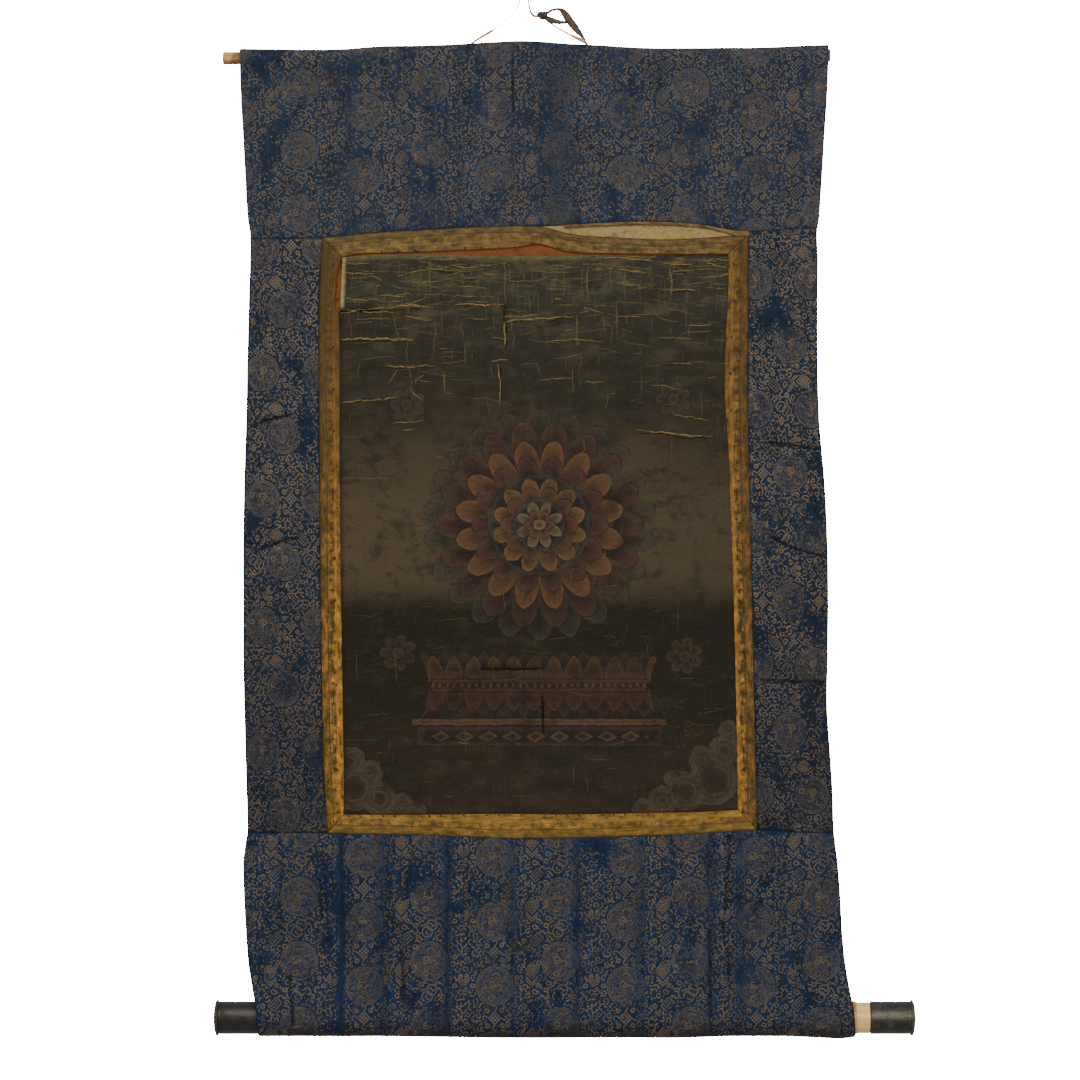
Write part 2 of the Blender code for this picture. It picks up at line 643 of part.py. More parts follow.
def build():
    for old in list(bpy.data.objects):
        bpy.data.objects.remove(old)
    collection = bpy.data.collections.new("thangka scroll painting")
    bpy.context.scene.collection.children.link(collection)

    brocade = material("blue brocade", (0.035, 0.045, 0.065), 0.75)
    gold = material("gold silk", (0.20, 0.11, 0.025), 0.6)
    painted = material("painted cotton", (0.035, 0.028, 0.016), 0.7)
    cream = material("cream cotton", (0.30, 0.22, 0.10), 0.9)
    red = material("red silk", (0.17, 0.055, 0.022), 0.7)
    tan = material("tan cotton", (0.42, 0.24, 0.10), 0.9)
    dowel_wood = material("red-brown wood", (0.26, 0.12, 0.05), 0.6)
    roller_wood = material("bare wood", (0.58, 0.46, 0.30), 0.7)
    lacquer = material("black lacquer", (0.035, 0.030, 0.025), 0.4)
    leather = material("brown leather", (0.045, 0.025, 0.015), 0.6)
    cord = material("tan cord", (0.22, 0.15, 0.09), 0.85)

    add_heading(brocade, collection)
    add_side_panels(brocade, collection)
    add_foot(brocade, collection)
    add_borders(gold, collection)
    add_painting(painted, collection)
    add_layers_behind(cream, red, gold, collection)
    add_rods(dowel_wood, roller_wood, lacquer, tan, collection)
    add_cord(cord, collection)
    add_ribbon("ribbon", RIBBON_ROUTE, 20, leather, collection)
    add_ribbon("ribbon_tail", TAIL_ROUTE, 7, leather, collection)
    add_ribbon("thong", THONG_ROUTE, 14, cord, collection)
    add_knot(leather, collection)


build()
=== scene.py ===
"""Looks of the thangka scroll: brocade, gold silk, aged painted cotton, rods, cord and leather.

Metres, +Z up, origin at the top of the hanging cord. Tables give millimetres: x to the viewer's right
of the origin, drop down from it, depth from the rods' axes towards the back.
"""
import math

import bmesh
import bpy
import numpy as np
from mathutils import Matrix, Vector


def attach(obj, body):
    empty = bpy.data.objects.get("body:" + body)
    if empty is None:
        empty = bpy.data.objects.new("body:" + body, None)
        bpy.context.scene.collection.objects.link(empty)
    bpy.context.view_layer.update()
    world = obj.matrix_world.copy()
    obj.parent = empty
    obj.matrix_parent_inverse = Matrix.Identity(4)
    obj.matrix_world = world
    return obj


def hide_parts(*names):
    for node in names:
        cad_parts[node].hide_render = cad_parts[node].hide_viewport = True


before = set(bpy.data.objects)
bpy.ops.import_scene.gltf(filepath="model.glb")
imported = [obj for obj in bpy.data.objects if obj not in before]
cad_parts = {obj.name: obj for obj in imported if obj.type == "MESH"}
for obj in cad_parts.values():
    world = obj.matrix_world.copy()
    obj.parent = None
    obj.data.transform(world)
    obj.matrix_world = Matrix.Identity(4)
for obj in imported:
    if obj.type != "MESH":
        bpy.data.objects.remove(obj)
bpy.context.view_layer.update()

MM = 0.001

# ---- sizes and edges of the cloths ----

BROCADE, SILK, CANVAS, COTTON = 1.2, 1, 1, 1
DOWEL_DROP, DOWEL_TILT = 70, 0.0046
ROLLER_DROP = 1125.3
TOP_SLEEVE_RADIUS, ROLLER_SLEEVE_RADIUS = 8.2, 19.6
SEAM_LAP = 0.35          # how far two sewn edges run into each other at the bottom of their seam
SEAM_SINK, SEAM_WIDTH = 1.5, 1.5

OUTLINE = (  # drop, left edge, right edge
    (57, -312, 334.4), (105, -311, 333), (160, -308, 329.7), (205, -305.8, 327),
    (248, -303.2, 324), (264, -300.6, 321.6), (290, -300.4, 322.7), (340, -302, 322.3),
    (404, -303.6, 322.3), (468, -304.7, 324), (535, -306.9, 329.7), (600, -308, 332.8),
    (668, -308, 333.9), (733, -308, 333), (780, -307, 332.2), (822, -305.8, 334.7),
    (865, -304.7, 337.7), (918, -303.2, 339.6), (936, -305.8, 341.5), (953, -307.7, 343.5),
    (990, -306.9, 346.5), (1030, -304.7, 348.7), (1063, -302.2, 351.8),
    (1092, -297.4, 356.5), (1112, -293.4, 360.3), (1145, -291, 363),
)
HEADING_TOP = (  # x, drop
    (-312, 61), (-246, 62), (-202, 61.6), (-158, 58.3), (-114, 57.5), (-70, 55.8),
    (-40, 53.9), (-4, 52.3), (23, 53.4), (51, 55.6), (84, 57.2), (128, 59.9),
    (172, 60.8), (216, 60), (260, 59.7), (304, 57.8), (334, 56.7),
)
FOOT_BOTTOM = (
    (-291, 1144.8), (-224, 1145.6), (-136, 1145.7), (-26, 1147.3), (106, 1147),
    (172, 1147.2), (238, 1145), (293, 1145.7), (348, 1148), (363, 1146.4),
)
HEADING_SEAM = (
    (-300, 270.6), (-221, 268.9), (-189, 265.9), (-151, 262.9), (-111, 260.7),
    (-48, 257.4), (19, 255.9), (62, 254.3), (89, 253), (128, 251.9), (167, 252.7),
    (197, 255.2), (217, 259.1), (237, 261.6), (277, 260.5), (322, 257.4),
)
TOP_STRIP_UPPER = (
    (-221, 268.9), (-189, 265.9), (-151, 262.9), (-111, 260.7), (-48, 257.4),
    (8, 256.1), (26, 258.3), (46, 264), (69, 267.3), (119, 270.2), (148, 271.4),
    (178, 270.6), (207, 268.8), (228, 267.2), (246, 265.2),
)
TOP_STRIP_LOWER = (
    (-199, 290), (-189, 287.5), (-170, 285.8), (-140, 285.5), (-101, 284.1),
    (-48, 281.8), (-23, 280.5), (-4, 278.3), (18, 275.7), (34, 280), (46, 283.6),
    (62, 285.6), (109, 286.4), (167, 286.8), (224, 286.8),
)
PAINTING_TOP = (
    (-200, 290.4), (-160, 288.1), (-101, 287.6), (-48, 288.9), (50, 288.8),
    (128, 288.4), (224, 287.6),
)
PAINTING_BOTTOM = (
    (-197, 900.3), (-135, 900.7), (-48, 899.9), (40, 900.1), (113, 899),
    (187, 897.9), (234, 895.7),
)
FOOT_SEAM = (
    (-303, 921.5), (-214, 922), (-157, 922.9), (-101, 924.3), (-48, 926.5),
    (-26, 927.7), (40, 926.9), (128, 924.7), (187, 922.5), (224, 920.3),
    (255, 918.9), (340, 922.6),
)
LEFT_STRIP_OUTER = (  # drop, x
    (268, -220.8), (295, -222.9), (364, -225), (442, -224.8), (535, -223.9),
    (623, -223.3), (711, -222.2), (777, -221.1), (855, -218.9), (911, -215.9),
    (923, -215.1),
)
LEFT_STRIP_INNER = (
    (290, -199.4), (309, -205.4), (326, -206.8), (344, -207.4), (352, -204),
    (362, -202.7), (462, -202.2), (521, -202.2), (601, -201.3), (689, -200.2),
    (804, -198), (900, -196.9),
)
PAINTING_LEFT = (
    (290, -199.1), (326, -200.8), (345, -201.4), (462, -201.8), (521, -201.8),
    (601, -200.9), (689, -199.8), (804, -197.6), (900, -196.5),
)
RIGHT_STRIP_INNER = (
    (287, 223.6), (315, 224.4), (344, 223.1), (404, 220.7), (442, 220.3),
    (472, 222.2), (502, 224.4), (535, 225.5), (601, 227.7), (667, 229.9),
    (733, 231.6), (821, 233.3), (897, 234.1),
)
RIGHT_STRIP_OUTER = (
    (262, 246.3), (364, 246.3), (423, 245.3), (482, 246.3), (535, 247.3),
    (601, 248.6), (667, 250.3), (733, 251.6), (836, 254), (909, 255.4),
    (922, 255.9),
)
MITRES = {  # outer corner, inner corner
    "top_left": ((-220.9, 268.9), (-199.3, 290.2)), "top_right": ((246.2, 265.2), (223.8, 287.2)),
    "bottom_left": ((-215.1, 922), (-196.9, 900.4)), "bottom_right": ((255.7, 918.9), (234, 895.8)),
}
TOP_HEM = ((36, -20), (25, -20), (15, 4.6), (7, 7.2))
BOTTOM_HEM = ((-12, 17.6), (-26, 10), (-44, -30), (-60, -30))
HEM_STANDOFF, HEM_INSET = 2.2, 1.5

# ---- how the cloth hangs ----

HANG_PLANE = (  # drop, depth
    (70, -8.2), (80, -7.6), (100, -5.2), (140, -4.5), (500, -6.5), (900, -9.5),
    (1040, -12), (1085, -15.6), (1112, -19), (1125.3, -19.6), (1150, -19.6),
)
WAVES = (  # height, length across, length down, phase in turns
    (1.7, 236, 2600, 0.06), (1, 127, -900, 0.31), (0.8, 310, 420, 0.44),
    (0.6, 5000, 172, 0.1),
)
CREASES = (  # start x, start drop, end x, end drop, half width, depth
    (264, 918, 267, 1112, 12, 5), (244, 960, 246, 1108, 12, -2.6),
    (-254, 1040, -252, 1128, 10, 3.6), (-138, 1030, -134, 1120, 11, 3.2),
    (-222, 960, -225, 1046, 12, 2.6), (-12, 60, -10, 150, 11, 2.4),
    (70, 150, 66, 252, 22, -2.4), (-290, 608, -224, 592, 14, 2.6),
    (272, 488, 322, 503, 14, 2.4), (258, 728, 326, 738, 15, -2.2),
    (-205, 350, -130, 342, 16, -1.8), (-70, 741, 30, 743, 18, -2),
)
SHARP_CREASES = (
    (224, 924, 225, 960, 3, 1.4), (222, 976, 221, 1006, 2.6, 1.1),
    (218, 1016, 219, 1040, 2.4, 1), (223, 1048, 224, 1085, 2.6, 1),
    (203.5, 1030, 204, 1122, 2.4, 1.1), (190, 1010, 191, 1044, 3, 0.6),
    (-257, 1078, -252, 1130, 2.8, 1.4), (-290, 1066, -289, 1098, 2.2, 0.9),
    (-224, 973, -222, 1016, 2.4, 1.2), (-134, 1048, -131, 1098, 3.2, 1.4),
    (-200, 940, -199, 1010, 2.4, 0.5), (-13, 60, -12, 130, 2.4, 1.1),
    (-296, 613, -270, 603, 2.8, 1.4), (-270, 603, -248, 598, 2.4, 1),
    (270, 596, 298, 610.5, 2.6, 1.2), (298, 610.5, 332, 619.3, 2.6, 1.1),
    (-298, 475, -256, 463, 2.8, 1.1), (270, 493.5, 320, 500.5, 3, 1.5),
    (262, 754, 328, 756, 2.8, 1), (-60, 930, -62, 1010, 6, 0.4),
    (60, 940, 58, 1120, 7, 0.4), (-203, 349.5, -160, 349, 1.6, 1.6),
    (-160, 346, -110, 340, 1.6, -0.5), (-199, 381, -120, 382, 2.2, -0.6),
    (-21, 343, -20, 392, 2, 0.8), (-200, 450, -140, 444, 2, -0.6),
    (-48, 741, 22, 742.5, 1.8, 1.2), (20, 772, 21, 812, 1.6, 1),
    (129, 408, 178, 409, 1.6, 0.7), (126, 408, 125, 478, 1.8, -0.5),
)
EDGE_CURL, EDGE_CURL_WIDTH = 2.6, 26
CALM_TOP, CALM_BOTTOM = (84, 130), (1116, 1070)


def smooth(table, at, column=1):
    """A table's column at places along its first column, on a smooth curve through the rows."""
    rows = np.array([(row[0], row[column]) for row in table], float)
    key, value = rows[:, 0], rows[:, 1]
    lead = np.concatenate(([0], np.arange(len(key) - 1)))
    trail = np.concatenate((np.arange(1, len(key)), [len(key) - 1]))
    slope = (value[trail] - value[lead]) / (key[trail] - key[lead])
    at = np.clip(np.asarray(at, float), key[0], key[-1])
    i = np.clip(np.searchsorted(key, at, "right") - 1, 0, len(key) - 2)
    step = key[i + 1] - key[i]
    s = (at - key[i]) / step
    return (
        value[i] * (2 * s**3 - 3 * s**2 + 1) + slope[i] * step * (s**3 - 2 * s**2 + s)
        + value[i + 1] * (3 * s**2 - 2 * s**3) + slope[i + 1] * step * (s**3 - s**2)
    )


def rise(value, low, high):
    """0 at low, 1 at high and soft between; low may be above high."""
    s = np.clip((value - low) / (high - low), 0, 1)
    return s * s * (3 - 2 * s)


def edge(table, shift=0, column=1):
    """An edge of a cloth: a table's curve, moved by a shift."""
    return lambda value: smooth(table, value, column) + shift


def level(value):
    """A straight edge."""
    return lambda other: np.full_like(np.asarray(other, float), value)


def mitre(name, along, shift=0):
    """A mitre as x for a drop (along 0) or as drop for an x (along 1)."""
    outer, inner = MITRES[name]
    given, wanted = (1, 0) if along == 0 else (0, 1)
    rate = (inner[wanted] - outer[wanted]) / (inner[given] - outer[given])
    return lambda value: outer[wanted] + (value - outer[given]) * rate + shift


left_edge, right_edge = edge(OUTLINE), edge(OUTLINE, column=2)


def crease(x, drop, row, power=2):
    """Depth of one fold, deepest on the line between its two ends."""
    x0, drop0, x1, drop1, half_width, depth = row
    run_x, run_drop = x1 - x0, drop1 - drop0
    share = ((x - x0) * run_x + (drop - drop0) * run_drop) / (run_x**2 + run_drop**2)
    share = np.clip(share, 0, 1)
    away = np.hypot(x - x0 - share * run_x, drop - drop0 - share * run_drop)
    return depth * np.exp(-((away / half_width) ** power))


def relief(x, drop):
    """Depth of the middle of the hanging cloth, as in the part's own solids."""
    calm = rise(drop, *CALM_TOP) * rise(drop, *CALM_BOTTOM)
    folds = sum(h * np.sin(2 * np.pi * (x / a + drop / d + p)) for h, a, d, p in WAVES)
    folds = folds + sum(crease(x, drop, row) for row in CREASES)
    inside = np.minimum(x - left_edge(drop), right_edge(drop) - x)
    folds = folds + EDGE_CURL * rise(inside, EDGE_CURL_WIDTH, 0)
    return smooth(HANG_PLANE, drop) + calm * folds


def fine_relief(x, drop):
    """Sharp creases and small cockles that the solids leave out."""
    rng = np.random.default_rng(11)
    total = sum(crease(x, drop, row, 1.3) for row in SHARP_CREASES)
    for _ in range(14):
        length, turn, phase = rng.uniform(26, 80), rng.uniform(0, np.pi), rng.uniform(0, 7)
        along = x * math.cos(turn) + drop * math.sin(turn)
        total = total + 0.075 * np.sin(2 * np.pi * along / length + phase + 1.3 * np.sin(drop / 37))
    return total


def crease_shade_share(x, drop):
    """How much painted shade lies in the sharp creases: 1 at the bottom of a deep one."""
    share = np.zeros_like(np.asarray(x, float))
    for row in SHARP_CREASES:
        if row[5] > 0:
            share = np.maximum(share, crease(x, drop, (*row[:5], min(row[5], 1)), 1.3))
    return share


def grid_place(left, right, upper, lower, across, down):
    """x and drop at shares across and down a piece between its four edges."""
    drop = np.full_like(across, 0.5) * (upper(0) + lower(0))
    x = np.zeros_like(across)
    for _ in range(8):
        x = left(drop) * (1 - across) + right(drop) * across
        drop = upper(x) * (1 - down) + lower(x) * down
    return x, drop


def unit(vectors):
    return vectors / np.linalg.norm(vectors, axis=-1, keepdims=True)


def groove(distance):
    """Depth by which a sewn edge turns back into its seam."""
    return SEAM_SINK * np.exp(-((np.maximum(distance, 0) / SEAM_WIDTH) ** 1.6))


class Cloth:
    """A grid of points over one piece of cloth, for its mesh and for all that is sewn or woven on it."""

    def __init__(self, edges, place, size, step=3, sewn="", fine=(0, 0.5, 1, 1.7, 2.6)):
        self.edges = edges
        self.across, self.down = shares(size[0], step, fine), shares(size[1], step, fine)
        across, down = np.meshgrid(self.across, self.down)
        self.x, self.drop = grid_place(*edges, across, down)
        self.points = place(self.x, self.drop)
        left, right, upper, lower = edges
        gaps = {
            "l": self.x - left(self.drop), "r": right(self.drop) - self.x,
            "t": self.drop - upper(self.x), "b": lower(self.x) - self.drop,
        }
        for side in sewn:
            self.points[..., 1] += groove(gaps[side])
        down_run = np.gradient(self.points, axis=0)
        across_run = np.gradient(self.points, axis=1)
        self.out = unit(np.cross(down_run, across_run))

    def shares_at(self, x, drop):
        left, right, upper, lower = self.edges
        return (
            (x - left(drop)) / (right(drop) - left(drop)),
            (drop - upper(x)) / (lower(x) - upper(x)),
        )

    def lay(self, x, drop, lift=0):
        """Places on the cloth's front, lifted off its middle, for things laid at x and drop."""
        across, down = self.shares_at(x, drop)
        column, row = (
            np.clip(np.searchsorted(table, share, "right") - 1, 0, len(table) - 2)
            for table, share in ((self.across, across), (self.down, down))
        )
        a = ((across - self.across[column]) / (self.across[column + 1] - self.across[column]))[:, None]
        d = ((down - self.down[row]) / (self.down[row + 1] - self.down[row]))[:, None]
        a, d = np.clip(a, 0, 1), np.clip(d, 0, 1)

        def blend(grid):
            upper_side = grid[row, column] * (1 - a) + grid[row, column + 1] * a
            lower_side = grid[row + 1, column] * (1 - a) + grid[row + 1, column + 1] * a
            return upper_side * (1 - d) + lower_side * d

        return blend(self.points) + blend(self.out) * np.reshape(lift, (-1, 1))


def shares(length, step, fine):
    """Shares of a length, closer together near its two ends."""
    fine = np.array(fine)
    count = max(int((length - 2 * fine[-1]) / step), 1)
    middle = np.linspace(fine[-1], length - fine[-1], count + 1)
    return np.unique(np.round(np.concatenate((fine, middle, length - fine)), 5)) / length


def hang(extra=0, fine=1):
    """Place of points of the hanging cloth: x, depth and height in mm."""
    return lambda x, drop: np.stack((x, relief(x, drop) + fine * fine_relief(x, drop) + extra, -drop), -1)


def add_piece(name, mesh, materials, slot, replaced=()):
    piece = bpy.data.objects.new(name + "_dressed" if replaced else name, mesh)
    bpy.context.scene.collection.objects.link(piece)
    for surface in materials:
        mesh.materials.append(surface)
    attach(piece, "root")
    if replaced:
        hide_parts(*replaced)
    return piece


def mesh_of(name, points, faces, uv=None, **marks):
    """A smooth mesh from points in mm, with places on the cloth as its UV map and marks on each point."""
    mesh = bpy.data.meshes.new(name)
    mesh.from_pydata((np.asarray(points) * MM).tolist(), [], np.asarray(faces).tolist())
    if uv is not None:
        layer = mesh.uv_layers.new(name="cloth")
        corners = np.empty(len(mesh.loops), int)
        mesh.loops.foreach_get("vertex_index", corners)
        layer.data.foreach_set("uv", np.asarray(uv, np.float32)[corners].ravel())
    for key, values in marks.items():
        mesh.attributes.new(key, "FLOAT", "POINT").data.foreach_set("value", np.asarray(values, np.float32))
    mesh.polygons.foreach_set("use_smooth", [True] * len(mesh.polygons))
    return mesh


def loft(name, rings, tone, joined=False, sharp=None):
    """A closed skin over rings of points, capped at its two ends or joined back to its start."""
    count, sides = rings.shape[:2]
    at = np.arange(count * sides).reshape(count, sides)
    here, ahead = (at, np.roll(at, -1, 0)) if joined else (at[:-1], at[1:])
    faces = np.stack((here, np.roll(here, -1, 1), np.roll(ahead, -1, 1), ahead), -1).reshape(-1, 4).tolist()
    if not joined:
        faces += [at[0].tolist(), at[-1].tolist()]
    mesh = bpy.data.meshes.new(name)
    mesh.from_pydata((rings.reshape(-1, 3) * MM).tolist(), [], faces)
    tones = np.broadcast_to(tone, (count, sides)).ravel().astype(np.float32)
    mesh.attributes.new("tone", "FLOAT", "POINT").data.foreach_set("value", tones)
    skin = bmesh.new()
    skin.from_mesh(mesh)
    bmesh.ops.recalc_face_normals(skin, faces=skin.faces)
    skin.to_mesh(mesh)
    skin.free()
    mesh.shade_smooth()
    if sharp:
        mesh.set_sharp_from_angle(angle=math.radians(sharp))
    return mesh


def add_cloth(name, cloth, thickness, materials, slot, weave, replaced=None):
    """The cloth itself: a front and a reverse, with the weave's own directions as its UV map."""
    rows, columns = cloth.x.shape
    at = np.arange(rows * columns).reshape(rows, columns)
    faces = np.stack((at[:-1, :-1], at[1:, :-1], at[1:, 1:], at[:-1, 1:]), -1).reshape(-1, 4)
    x, drop = cloth.x.ravel(), cloth.drop.ravel()
    uv = np.stack(weave(x, drop), -1)
    # the soot mark is the share of painted shade in the sharp creases
    mesh = mesh_of(name, cloth.points.reshape(-1, 3), faces, uv, soot=crease_shade_share(x, drop))
    piece = add_piece(name, mesh, materials, slot, replaced or (name,))
    wall = piece.modifiers.new("cloth thickness", "SOLIDIFY")
    wall.thickness = thickness * MM
    wall.offset = 0
    wall.material_offset = 1
    return piece


# ---- drawn strokes: figure of the brocade, cracks, threads ----

class Figure:
    """Strokes of thread in the plane of the cloth, in mm."""

    def __init__(self):
        self.strokes = []

    def add(self, points, width, at=(0, 0), turn=0, size=(1, 1), ends=(1, 1), tone=0.5):
        points = np.asarray(points, float) * size
        cos, sin = math.cos(turn), math.sin(turn)
        points = points @ np.array(((cos, sin), (-sin, cos))) + at
        run = np.concatenate(([0], np.cumsum(np.linalg.norm(np.diff(points, axis=0), axis=1))))
        reach = 0.8 * width
        widths = np.full(len(points), float(width))
        for factor, away in zip(ends, (run, run[-1] - run)):
            widths *= 1 + (factor - 1) * np.exp(-((away / reach - 0.6) ** 2))
        self.strokes.append((points, widths, tone))
        return self

    def vary(self, factors):
        """Make the last stroke wider or narrower along its length."""
        points, widths, tone = self.strokes[-1]
        self.strokes[-1] = (points, widths * factors, tone)

    def mesh_arrays(self):
        points, faces, tones, sides, start = [], [], [], [], 0
        for line, widths, tone in self.strokes:
            along = np.gradient(line, axis=0)
            along /= np.maximum(np.linalg.norm(along, axis=1, keepdims=True), 1e-9)
            side = np.stack((-along[:, 1], along[:, 0]), 1) * widths[:, None] / 2
            points.append(np.stack((line + side, line - side), 1).reshape(-1, 2))
            k = start + 2 * np.arange(len(line) - 1)
            faces.append(np.stack((k, k + 1, k + 3, k + 2), 1))
            tones.append(np.full(2 * len(line), tone))
            sides.append(np.tile((1, -1), len(line)))
            start += 2 * len(line)
        return np.concatenate(points), np.concatenate(faces), {
            "tone": np.concatenate(tones), "side": np.concatenate(sides),
        }


def arc(radius, start=0, sweep=360, end=None, count=None):
    """An arc or spiral about the origin; angles in degrees, end is the radius at its far end."""
    end = radius if end is None else end
    count = count or max(int(abs(sweep) / 24), 4)
    angle = np.radians(start + np.linspace(0, sweep, count + 1))
    away = np.linspace(radius, end, count + 1)
    return np.stack((away * np.cos(angle), away * np.sin(angle)), 1)


def line(*corners, count=2):
    """A line through corners, with a few points on each of its runs."""
    corners = np.asarray(corners, float)
    runs = [np.linspace(a, b, count, endpoint=False) for a, b in zip(corners[:-1], corners[1:])]
    return np.concatenate((*runs, corners[-1:]))


REPEAT = (143, 69)
THREAD = 1.4


def scroll(rng):
    """One scroll of the brocade's filling, at random among its kinds: its points and how its ends swell."""
    kind = rng.integers(0, 5)
    if kind == 0:                                        # spiral
        return arc(1, 0, rng.uniform(320, 400), rng.uniform(2.8, 3.5)), (1.5, 1.5)
    if kind == 1:                                        # S
        reach = rng.uniform(1.7, 2.3)
        first = arc(reach, 180, -190) + (-reach, 0)
        second = arc(reach, 180, 190) + (reach, 0)
        return np.concatenate((first, second[1:])), (1.7, 1.7)
    if kind == 2:                                        # C
        return arc(rng.uniform(2, 2.9), 0, rng.uniform(190, 260)), (1.8, 1.6)
    if kind == 3:                                        # comma
        return arc(rng.uniform(2.6, 3.8), 0, rng.uniform(80, 130)), (2, 0.8)
    tail = line((0, 2.4), (-3, 3), (-5.4, 1.8), count=2)
    return np.concatenate((arc(0.8, 0, 450, 2.4), tail)), (1.5, 1.6)    # curl with a tail


def brocade_figure():
    """One repeat of the brocade: two roundels, the precious things between them, and scrolls."""
    figure = Figure()
    wide, high = REPEAT
    cells = (int(wide * 2), int(high * 2))
    taken = np.zeros(cells, bool)

    def mark(points, radius):
        reach = int(radius * 2) + 1
        i, j = np.meshgrid(np.arange(-reach, reach + 1), np.arange(-reach, reach + 1), indexing="ij")
        disc = i * i + j * j <= (radius * 2) ** 2
        for x, y in np.round(points * 2).astype(int):
            taken[(x + i[disc]) % cells[0], (y + j[disc]) % cells[1]] = True

    def draw(points, width=THREAD, clear=1.25, **how):
        figure.add(points, width, **how)
        mark(figure.strokes[-1][0], width / 2 + clear)

    for centre in ((0, 0), (71.5, 26.4)):
        around, swing = np.array(centre), 1 if centre[0] else -1
        draw(arc(20.4, count=44), 1, at=centre, tone=0.25)
        mark(around[None], 20)
        figure.add(arc(18, 20, 250 * swing, count=24), 0.8, at=centre, tone=0.2)
        figure.add(arc(2.7, count=14), 1, at=around + (-4, 13.2), tone=0.9)
        figure.add(arc(1.2, 0, 500, 4.6), 1.15, at=around + (-3.5, -1.5), ends=(1.8, 1.4), tone=0.85)
        figure.add(arc(3.2, 60, -240), 1.1, at=around + (4.6, 2.2), ends=(1.6, 1.8), tone=0.6)
        figure.add(arc(4, 190, 150), 1, at=around + (1.5, -9.5), ends=(1.7, 1.5), tone=0.6)
        figure.add(arc(3, 300, 200), 1, at=around + (9, -8), ends=(1.7, 1.5), tone=0.4)
        figure.add(arc(3.4, 100, 200), 1, at=around + (-11, 5), ends=(1.7, 1.5), tone=0.4)

    for centre in ((2.6, 30.6), (-2.4, 37.8)):          # two rings, one through the other
        draw(arc(5.6, count=20), at=centre, tone=0.75)
    for side, turn in ((-1, 0), (1, math.pi)):
        draw(arc(7, 120, 150, 8.4), at=(side * 6, 34.2), turn=turn, ends=(1.6, 1.7), tone=0.7)
        draw(arc(1, 0, 330, 2.6), at=(side * 15.6, 34.2 + side * 3), turn=turn, ends=(1.5, 1.4), tone=0.9)

    for k in (-1.5, -0.5, 0.5, 1.5):                     # endless knot in two crossing sets of bars
        for turn in (math.pi / 4, -math.pi / 4):
            draw(line((-5.6, k * 3.1), (5.6, k * 3.1), count=4), 1.25, at=(71.5, -8.8), turn=turn, tone=0.55)
    for quarter in range(4):
        turn = quarter * math.pi / 2
        out = np.array((math.cos(turn), math.sin(turn))) * 10.6 + (71.5, -8.8)
        draw(arc(2.3, 110, 250), 1.3, at=out, turn=turn + math.pi, ends=(1.3, 1.3), tone=0.6)
        corner = turn + math.pi / 4
        out = np.array((math.cos(corner), math.sin(corner))) * 10.9 + (71.5, -8.8)
        draw(arc(0.8, 0, 380, 2.9), at=out, turn=corner, ends=(1.8, 1.5), tone=0.9)

    for side in (-1, 1):                                 # nested cloud head
        for radius, tone in ((8.2, 0.55), (5.6, 0.7), (3.1, 0.6)):
            half = arc(radius, 90, -150, radius * 0.62)
            draw(half, 1.25, at=(37.4, 17.6), size=(side * 0.92, 1), ends=(1, 1.5), tone=tone)
        draw(arc(0.8, 0, 400, 3), at=(37.4 + side * 9.4, 26.6), size=(side, 1), ends=(1.8, 1.3), tone=0.8)

    draw(line((35, -25), (34.2, -19), (36, -12), (35, -6), count=3), tone=0.7)
    for height, side, size in ((-21, 1, 1), (-17.5, -1, 1.1), (-13.5, 1, 1.1), (-10, -1, 0.8)):
        branch = line((0, 0), (3.2, -1.2), (5.2, -4), count=3)
        draw(branch, at=(35, height), size=(side * size, size), ends=(0.8, 1.8), tone=0.8)

    for size, tone in ((1, 0.6), (0.62, 0.75), (0.26, 0.9)):   # nested lozenge over a chevron
        lozenge = line((0, -9), (7.4, 0), (0, 9), (-7.4, 0), (0, -9), count=4)
        draw(lozenge, at=(112.2, 10), size=(size, size), tone=tone)
    for away in (0, 3):
        draw(line((-6.6, -3), (0, 3.6), (6.6, -3), count=4), at=(112.2, 20 + away),
             ends=(1.4, 1.4), tone=0.7)
    for side in (-1, 1):
        draw(arc(4.6, 300, 150), at=(112.2 + side * 11.2, 8), size=(side, 1), ends=(1.7, 1.7), tone=0.8)

    turn = -math.pi / 4                                  # slanted book with its leaves
    draw(line((-6.4, -4.2), (6.4, -4.2), (6.4, 4.2), (-6.4, 4.2), (-6.4, -4.2), count=4), 1.2,
         at=(117.3, 45.8), turn=turn, tone=0.6)
    for away in (-1.6, 1.2):
        draw(line((-5, away), (5, away), count=4), 1.1, at=(117.3, 45.8), turn=turn, tone=0.5)
    for side in (-1, 1):
        draw(arc(1, 0, 360, 3.4), at=(117.3 + side * 9.4, 45.8 + side * 8.4), turn=side * 0.8,
             ends=(1.6, 1.4), tone=0.85)

    rng = np.random.default_rng(7)
    for size, attempts in ((1.15, 900), (0.98, 1800), (0.8, 2600), (0.62, 2600), (0, 1500)):
        for _ in range(attempts):
            points, ends = scroll(rng)
            width, tone = THREAD * rng.uniform(0.9, 1.15), rng.uniform(0.15, 0.9)
            scale = size * rng.uniform(0.92, 1.08)
            if not size:                                 # a lone bud where no scroll has room
                points, ends, width, tone, scale = line((0, 0), (1, 0.4)), (1, 1), 1.9, 1, 1
            turn, at, flip = rng.uniform(0, 2 * math.pi), rng.uniform(0, 1, 2) * REPEAT, rng.choice((-1, 1))
            cos, sin = math.cos(turn), math.sin(turn)
            tried = (points * (scale * flip, scale)) @ np.array(((cos, sin), (-sin, cos))) + at
            i, j = np.round(tried * 2).astype(int).T
            if not taken[i % cells[0], j % cells[1]].any():
                draw(points, width, 1.05, at=at, turn=turn, size=(scale * flip, scale), ends=ends, tone=tone)
    return figure


# ---- Geometry Nodes ----

